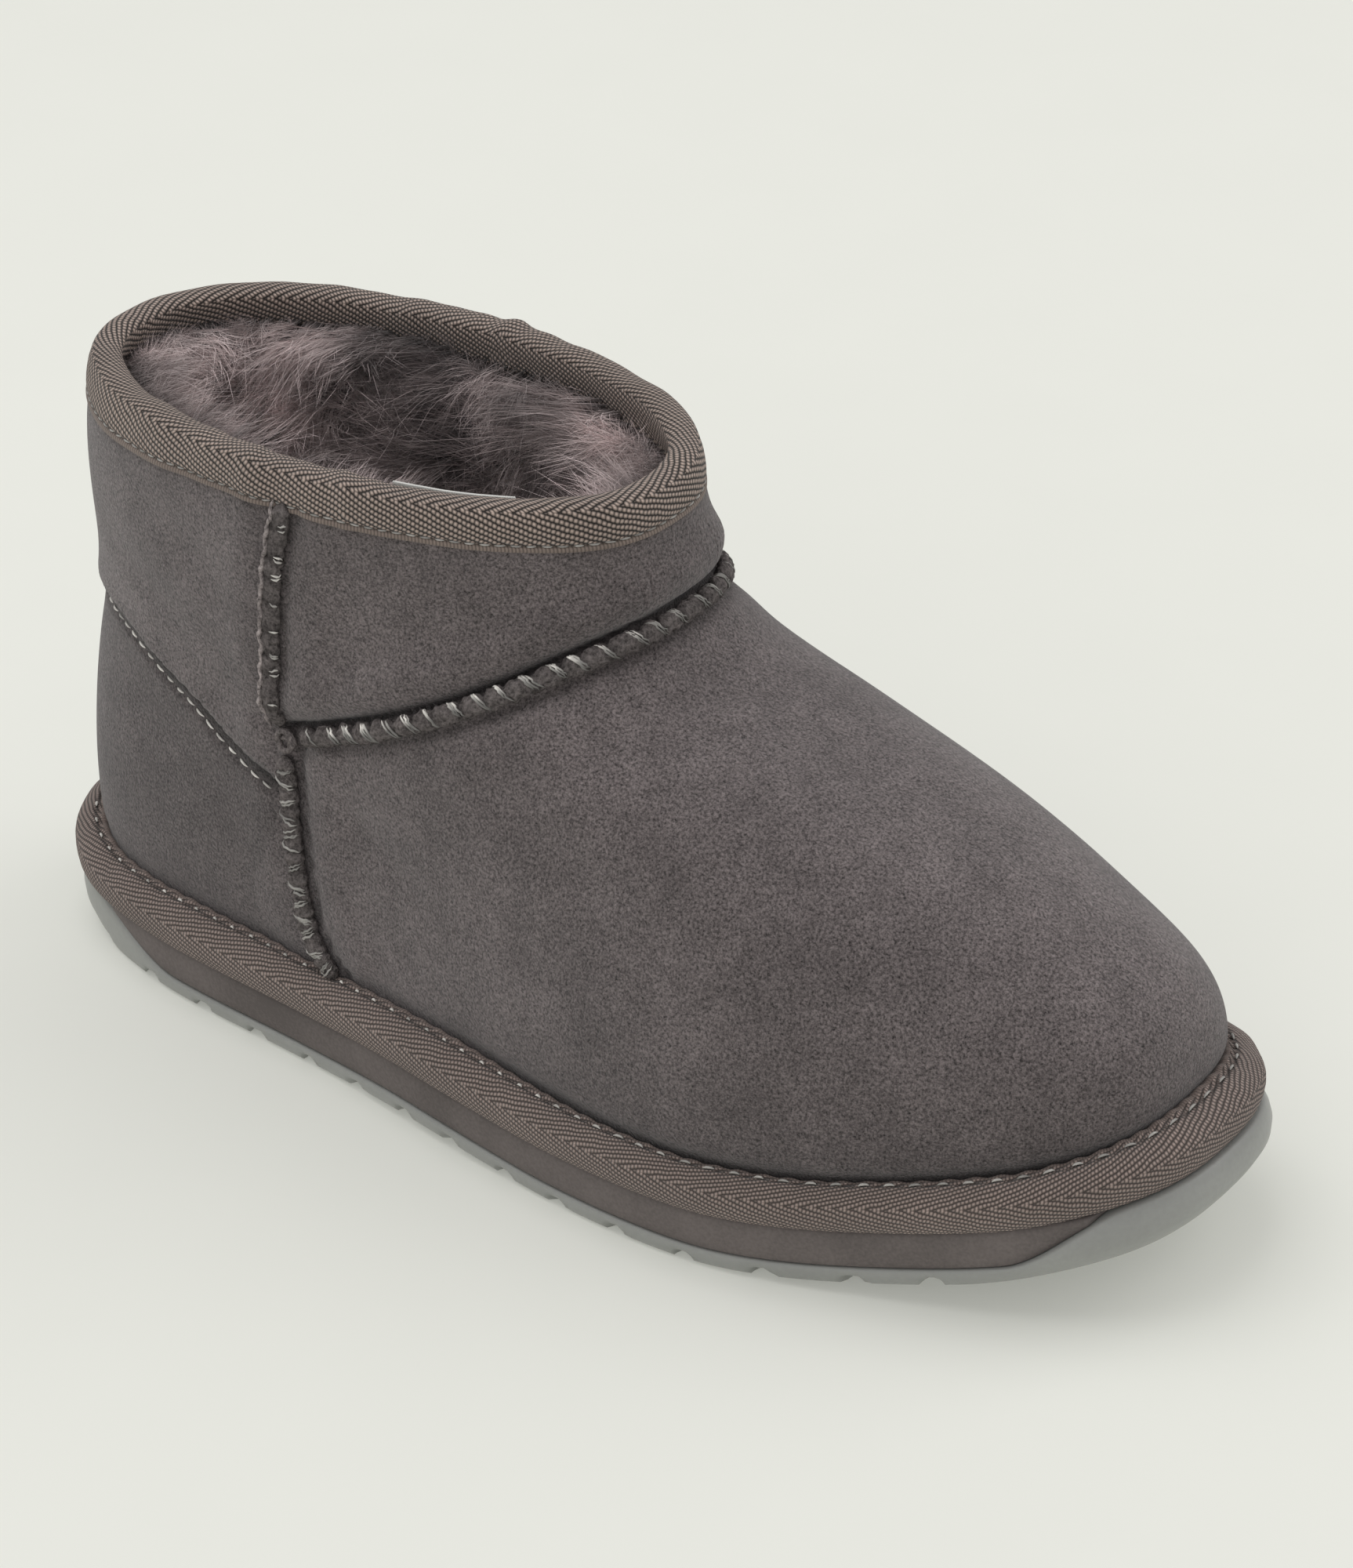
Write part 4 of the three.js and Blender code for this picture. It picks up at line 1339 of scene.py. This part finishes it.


# ---- Fleece ----
# The pile on the hide's inner side: dense curly wool about 15 mm long, standing in tufts. A lumpy base lies
# under it, painted dark as the shade deep in the pile, and the insole is faced with the same pile, trodden
# shorter.
PILE_TOP = 125
PILE_DEEP = 90  # below this height it is seldom seen, and below the next one hardly at all
PILE_LOW = 55
LOCKS_IN_TUFT = 18
LOCK_WIDTH = 0.18
BELOW_RIM = 5.0
RIM_EASE = 4.0  # over this height a lock bends away below the rim

smoothed(lining, 2)
place, facing = places_of(lining)
lumps = np.array([rough_noise.noise(Vector(p) * 0.12) for p in place])
deep = fade(124 - place[:, 2], 4, 14)
place = place + facing * (0.6 + 1.6 * lumps * deep)[:, None] * deep[:, None]
put_back(lining, place)
lining.data.shade_smooth()

bed = cad_copy("insole", "fleece_bed")
smoothed(bed, 2)
bed.data.shade_smooth()


def roots_on(piece, keep, per_area, seed):
    """Random places on the faces of a piece, a given number to the square millimetre, and their normals."""
    seeds = np.random.default_rng(seed)
    piece.data.calc_loop_triangles()
    corners = np.array([t.vertices[:] for t in piece.data.loop_triangles])
    place, facing = places_of(piece)
    middle = place[corners].mean(axis=1)
    direction = facing[corners].mean(axis=1)
    corners = corners[keep(middle, direction)]
    a, b, c = place[corners[:, 0]], place[corners[:, 1]], place[corners[:, 2]]
    area = np.linalg.norm(np.cross(b - a, c - a), axis=1) / 2
    count = int(area.sum() * per_area)
    pick = seeds.choice(len(corners), count, p=area / area.sum())
    u, v = seeds.random(count), seeds.random(count)
    fold = u + v > 1
    u[fold], v[fold] = 1 - u[fold], 1 - v[fold]
    spot = a[pick] + (b - a)[pick] * u[:, None] + (c - a)[pick] * v[:, None]
    return spot, facing[corners[pick]].mean(axis=1)


def pile(name, spot, facing, length, thick, seed):
    """Wool as thin ribbons that taper to a point, drawn together in curly tufts."""
    seeds = np.random.default_rng(seed)
    count = len(spot)
    tufts = seeds.choice(count, max(4, int(count / LOCKS_IN_TUFT)), replace=False)
    finder = KDTree(len(tufts))
    for k, root in enumerate(tufts):
        finder.insert(Vector(spot[root]), k)
    finder.balance()
    tuft = np.array([finder.find(Vector(p))[1] for p in spot])
    tuft_lean = seeds.normal(0, 0.45, (len(tufts), 3))
    tuft_tone = seeds.random(len(tufts))
    tuft_phase = seeds.random(len(tufts)) * 2 * math.pi
    tuft_size = seeds.uniform(0.75, 1.2, len(tufts))
    swirls = [
        [rough_noise.noise(Vector(p) * 0.05 + Vector((0, 0, 40 * k))) for k in range(3)]
        for p in spot[tufts]
    ]
    tuft_lean = tuft_lean + 1.5 * np.array(swirls)
    centre = spot[tufts][tuft]
    ends = fade(np.abs(spot[:, 0] + 62), 14, 40)
    near = fade(-spot[:, 1], 8, 26) * (1 - ends)
    size = (length * tuft_size[tuft] * seeds.uniform(0.7, 1.2, count) * (1 - 0.4 * near))[:, None]
    lean = tuft_lean[tuft] + seeds.normal(0, 0.28, (count, 3))
    grow = facing + np.array([0, 0, 0.25])
    side = np.cross(facing, seeds.normal(0, 1, (count, 3)))
    side = side / np.linalg.norm(side, axis=1, keepdims=True)
    other = np.cross(facing, side)
    curl = np.cross(facing, np.array([0.3, 0.2, 1.0]))
    curl_other = np.cross(facing, curl)
    phase = (tuft_phase[tuft] + seeds.normal(0, 0.5, count))[:, None]
    stations = np.array([0, 0.4, 0.72, 1.0])
    angle = np.arctan2(COLLAR_MIDDLE[1] - spot[:, 1], COLLAR_MIDDLE[0] - spot[:, 0])
    rim_above = np.interp(angle, rim_turns, rim, period=2 * math.pi)
    rows = []
    for t in stations:
        core = spot + grow * size * (t - 0.3 * t * t) + lean * size * 0.6 * t * t
        core = core + (centre - spot) * 0.6 * fade(t, 0.1, 1.0)
        swirl = 1.3 * t * (curl * np.cos(phase + 4.8 * t) + curl_other * np.sin(phase + 5.6 * t))
        inward = np.einsum("ij,ij->i", core + swirl - spot, facing)[:, None]
        hair = core + swirl + facing * np.maximum(0, 0.3 * size * t - inward)
        too_high = np.maximum(0, hair[:, 2] - (rim_above - BELOW_RIM))
        hair[:, 2] += RIM_EASE * (1 - np.exp(-too_high / RIM_EASE)) - too_high
        rows.append(hair)
    points, along = [], []
    for k, t in enumerate(stations[:-1]):
        turn = side * math.cos(0.9 * k) + other * math.sin(0.9 * k)
        wide = thick * (1 - 0.6 * t)
        points += [rows[k] - turn * wide / 2, rows[k] + turn * wide / 2]
        along += [t, t]
    points.append(rows[-1])
    along.append(1.0)
    base = np.arange(count)[:, None] * len(points)
    quads = np.concatenate([base + np.array([[2 * k, 2 * k + 1, 2 * k + 3, 2 * k + 2]]) for k in range(2)])
    tips = base + np.array([[4, 5, 6]])
    piece = mesh_piece(name, np.stack(points, axis=1).reshape(-1, 3), quads.tolist() + tips.tolist())
    painted(piece, "along", np.tile(along, count))
    # Each lock's tone is random per tuft and per lock, painted lighter at the two ends of the opening as
    # light reaching in there, and a little lighter on the near wall.
    tone = tuft_tone[tuft] * 0.3 + seeds.random(count) * 0.5 + 0.75 * ends + 0.15 * near
    painted(piece, "tuft", np.repeat(tone, len(points)))
    return piece


wool, tree, shader = new_material(
    "sheepskin_wool", Roughness=0.6, Specular_IOR_Level=0.3, Sheen_Weight=0.3
)
# Painted shade: the locks are dark at their roots and light at their tips, and cloudy hollows are darker,
# as the shade deep in the pile.
tone = spread(tree, painted_tone(tree, "along"), 0.1, 1.0, 0.14, 1.25)
tone = maths(tree, "MULTIPLY", tone, spread(tree, painted_tone(tree, "tuft"), 0.0, 1.6, 0.5, 2.0))
hollows = spread(tree, noise(tree, on_piece(tree), 42), 0.35, 0.65, 0.5, 1.4)
coloured(tree, shader, linear(182, 168, 167), maths(tree, "MULTIPLY", tone, hollows))

# Painted shade: the base is dark so that the gaps between the locks read as shade deep in the pile.
base, tree, shader = new_material("fleece_base_painted_shade", Roughness=0.95, Specular_IOR_Level=0.1)
curls = noise(tree, on_piece(tree), 350, 4, 0.7)
coloured(tree, shader, linear(72, 62, 61), spread(tree, curls, 0.3, 0.7, 0.6, 1.4))
raised(tree, shader, curls, 1.0, 0.002)
for piece in (lining, bed):
    piece.data.materials.append(base)
    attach(piece, "root")
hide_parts("insole")

PILES = [
    {"name": "wool_back", "z": (PILE_DEEP, PILE_TOP), "x": (-200, -84), "per": 8.2, "length": 14},
    {"name": "wool_middle", "z": (PILE_DEEP, PILE_TOP), "x": (-84, -44), "per": 8.2, "length": 14},
    {"name": "wool_front", "z": (PILE_DEEP, PILE_TOP), "x": (-44, 100), "per": 8.2, "length": 14},
    {"name": "wool_deep", "z": (PILE_LOW, PILE_DEEP), "x": (-200, 20), "per": 1.6, "length": 15},
    {"name": "wool_low", "z": (18, PILE_LOW), "x": (-200, 200), "per": 0.15, "length": 9},
]


def behind_label(spots):
    """True for roots that the label covers."""
    covered = (spots[:, 0] > LABEL_FROM - 1) & (spots[:, 0] < LABEL_TO + 1)
    return covered & (spots[:, 1] < 0) & (spots[:, 2] > 104)


for number, part in enumerate(PILES):
    low, high = part["z"]
    back, front = part["x"]
    spot, normal = roots_on(
        lining,
        lambda m, n: (m[:, 2] > low)
        & (m[:, 2] <= high)
        & (m[:, 0] > back)
        & (m[:, 0] <= front)
        & ~behind_label(m),
        part["per"],
        20 + number,
    )
    wool_piece = pile(part["name"], spot, normal, part["length"], LOCK_WIDTH, 40 + number)
    wool_piece.data.materials.append(wool)
    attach(wool_piece, "root")
spot, normal = roots_on(bed, lambda m, n: n[:, 2] > 0.6, 0.5, 31)
wool_bed = pile("wool_bed", spot, normal, 7, 0.5, 32)
wool_bed.data.materials.append(wool)
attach(wool_bed, "root")
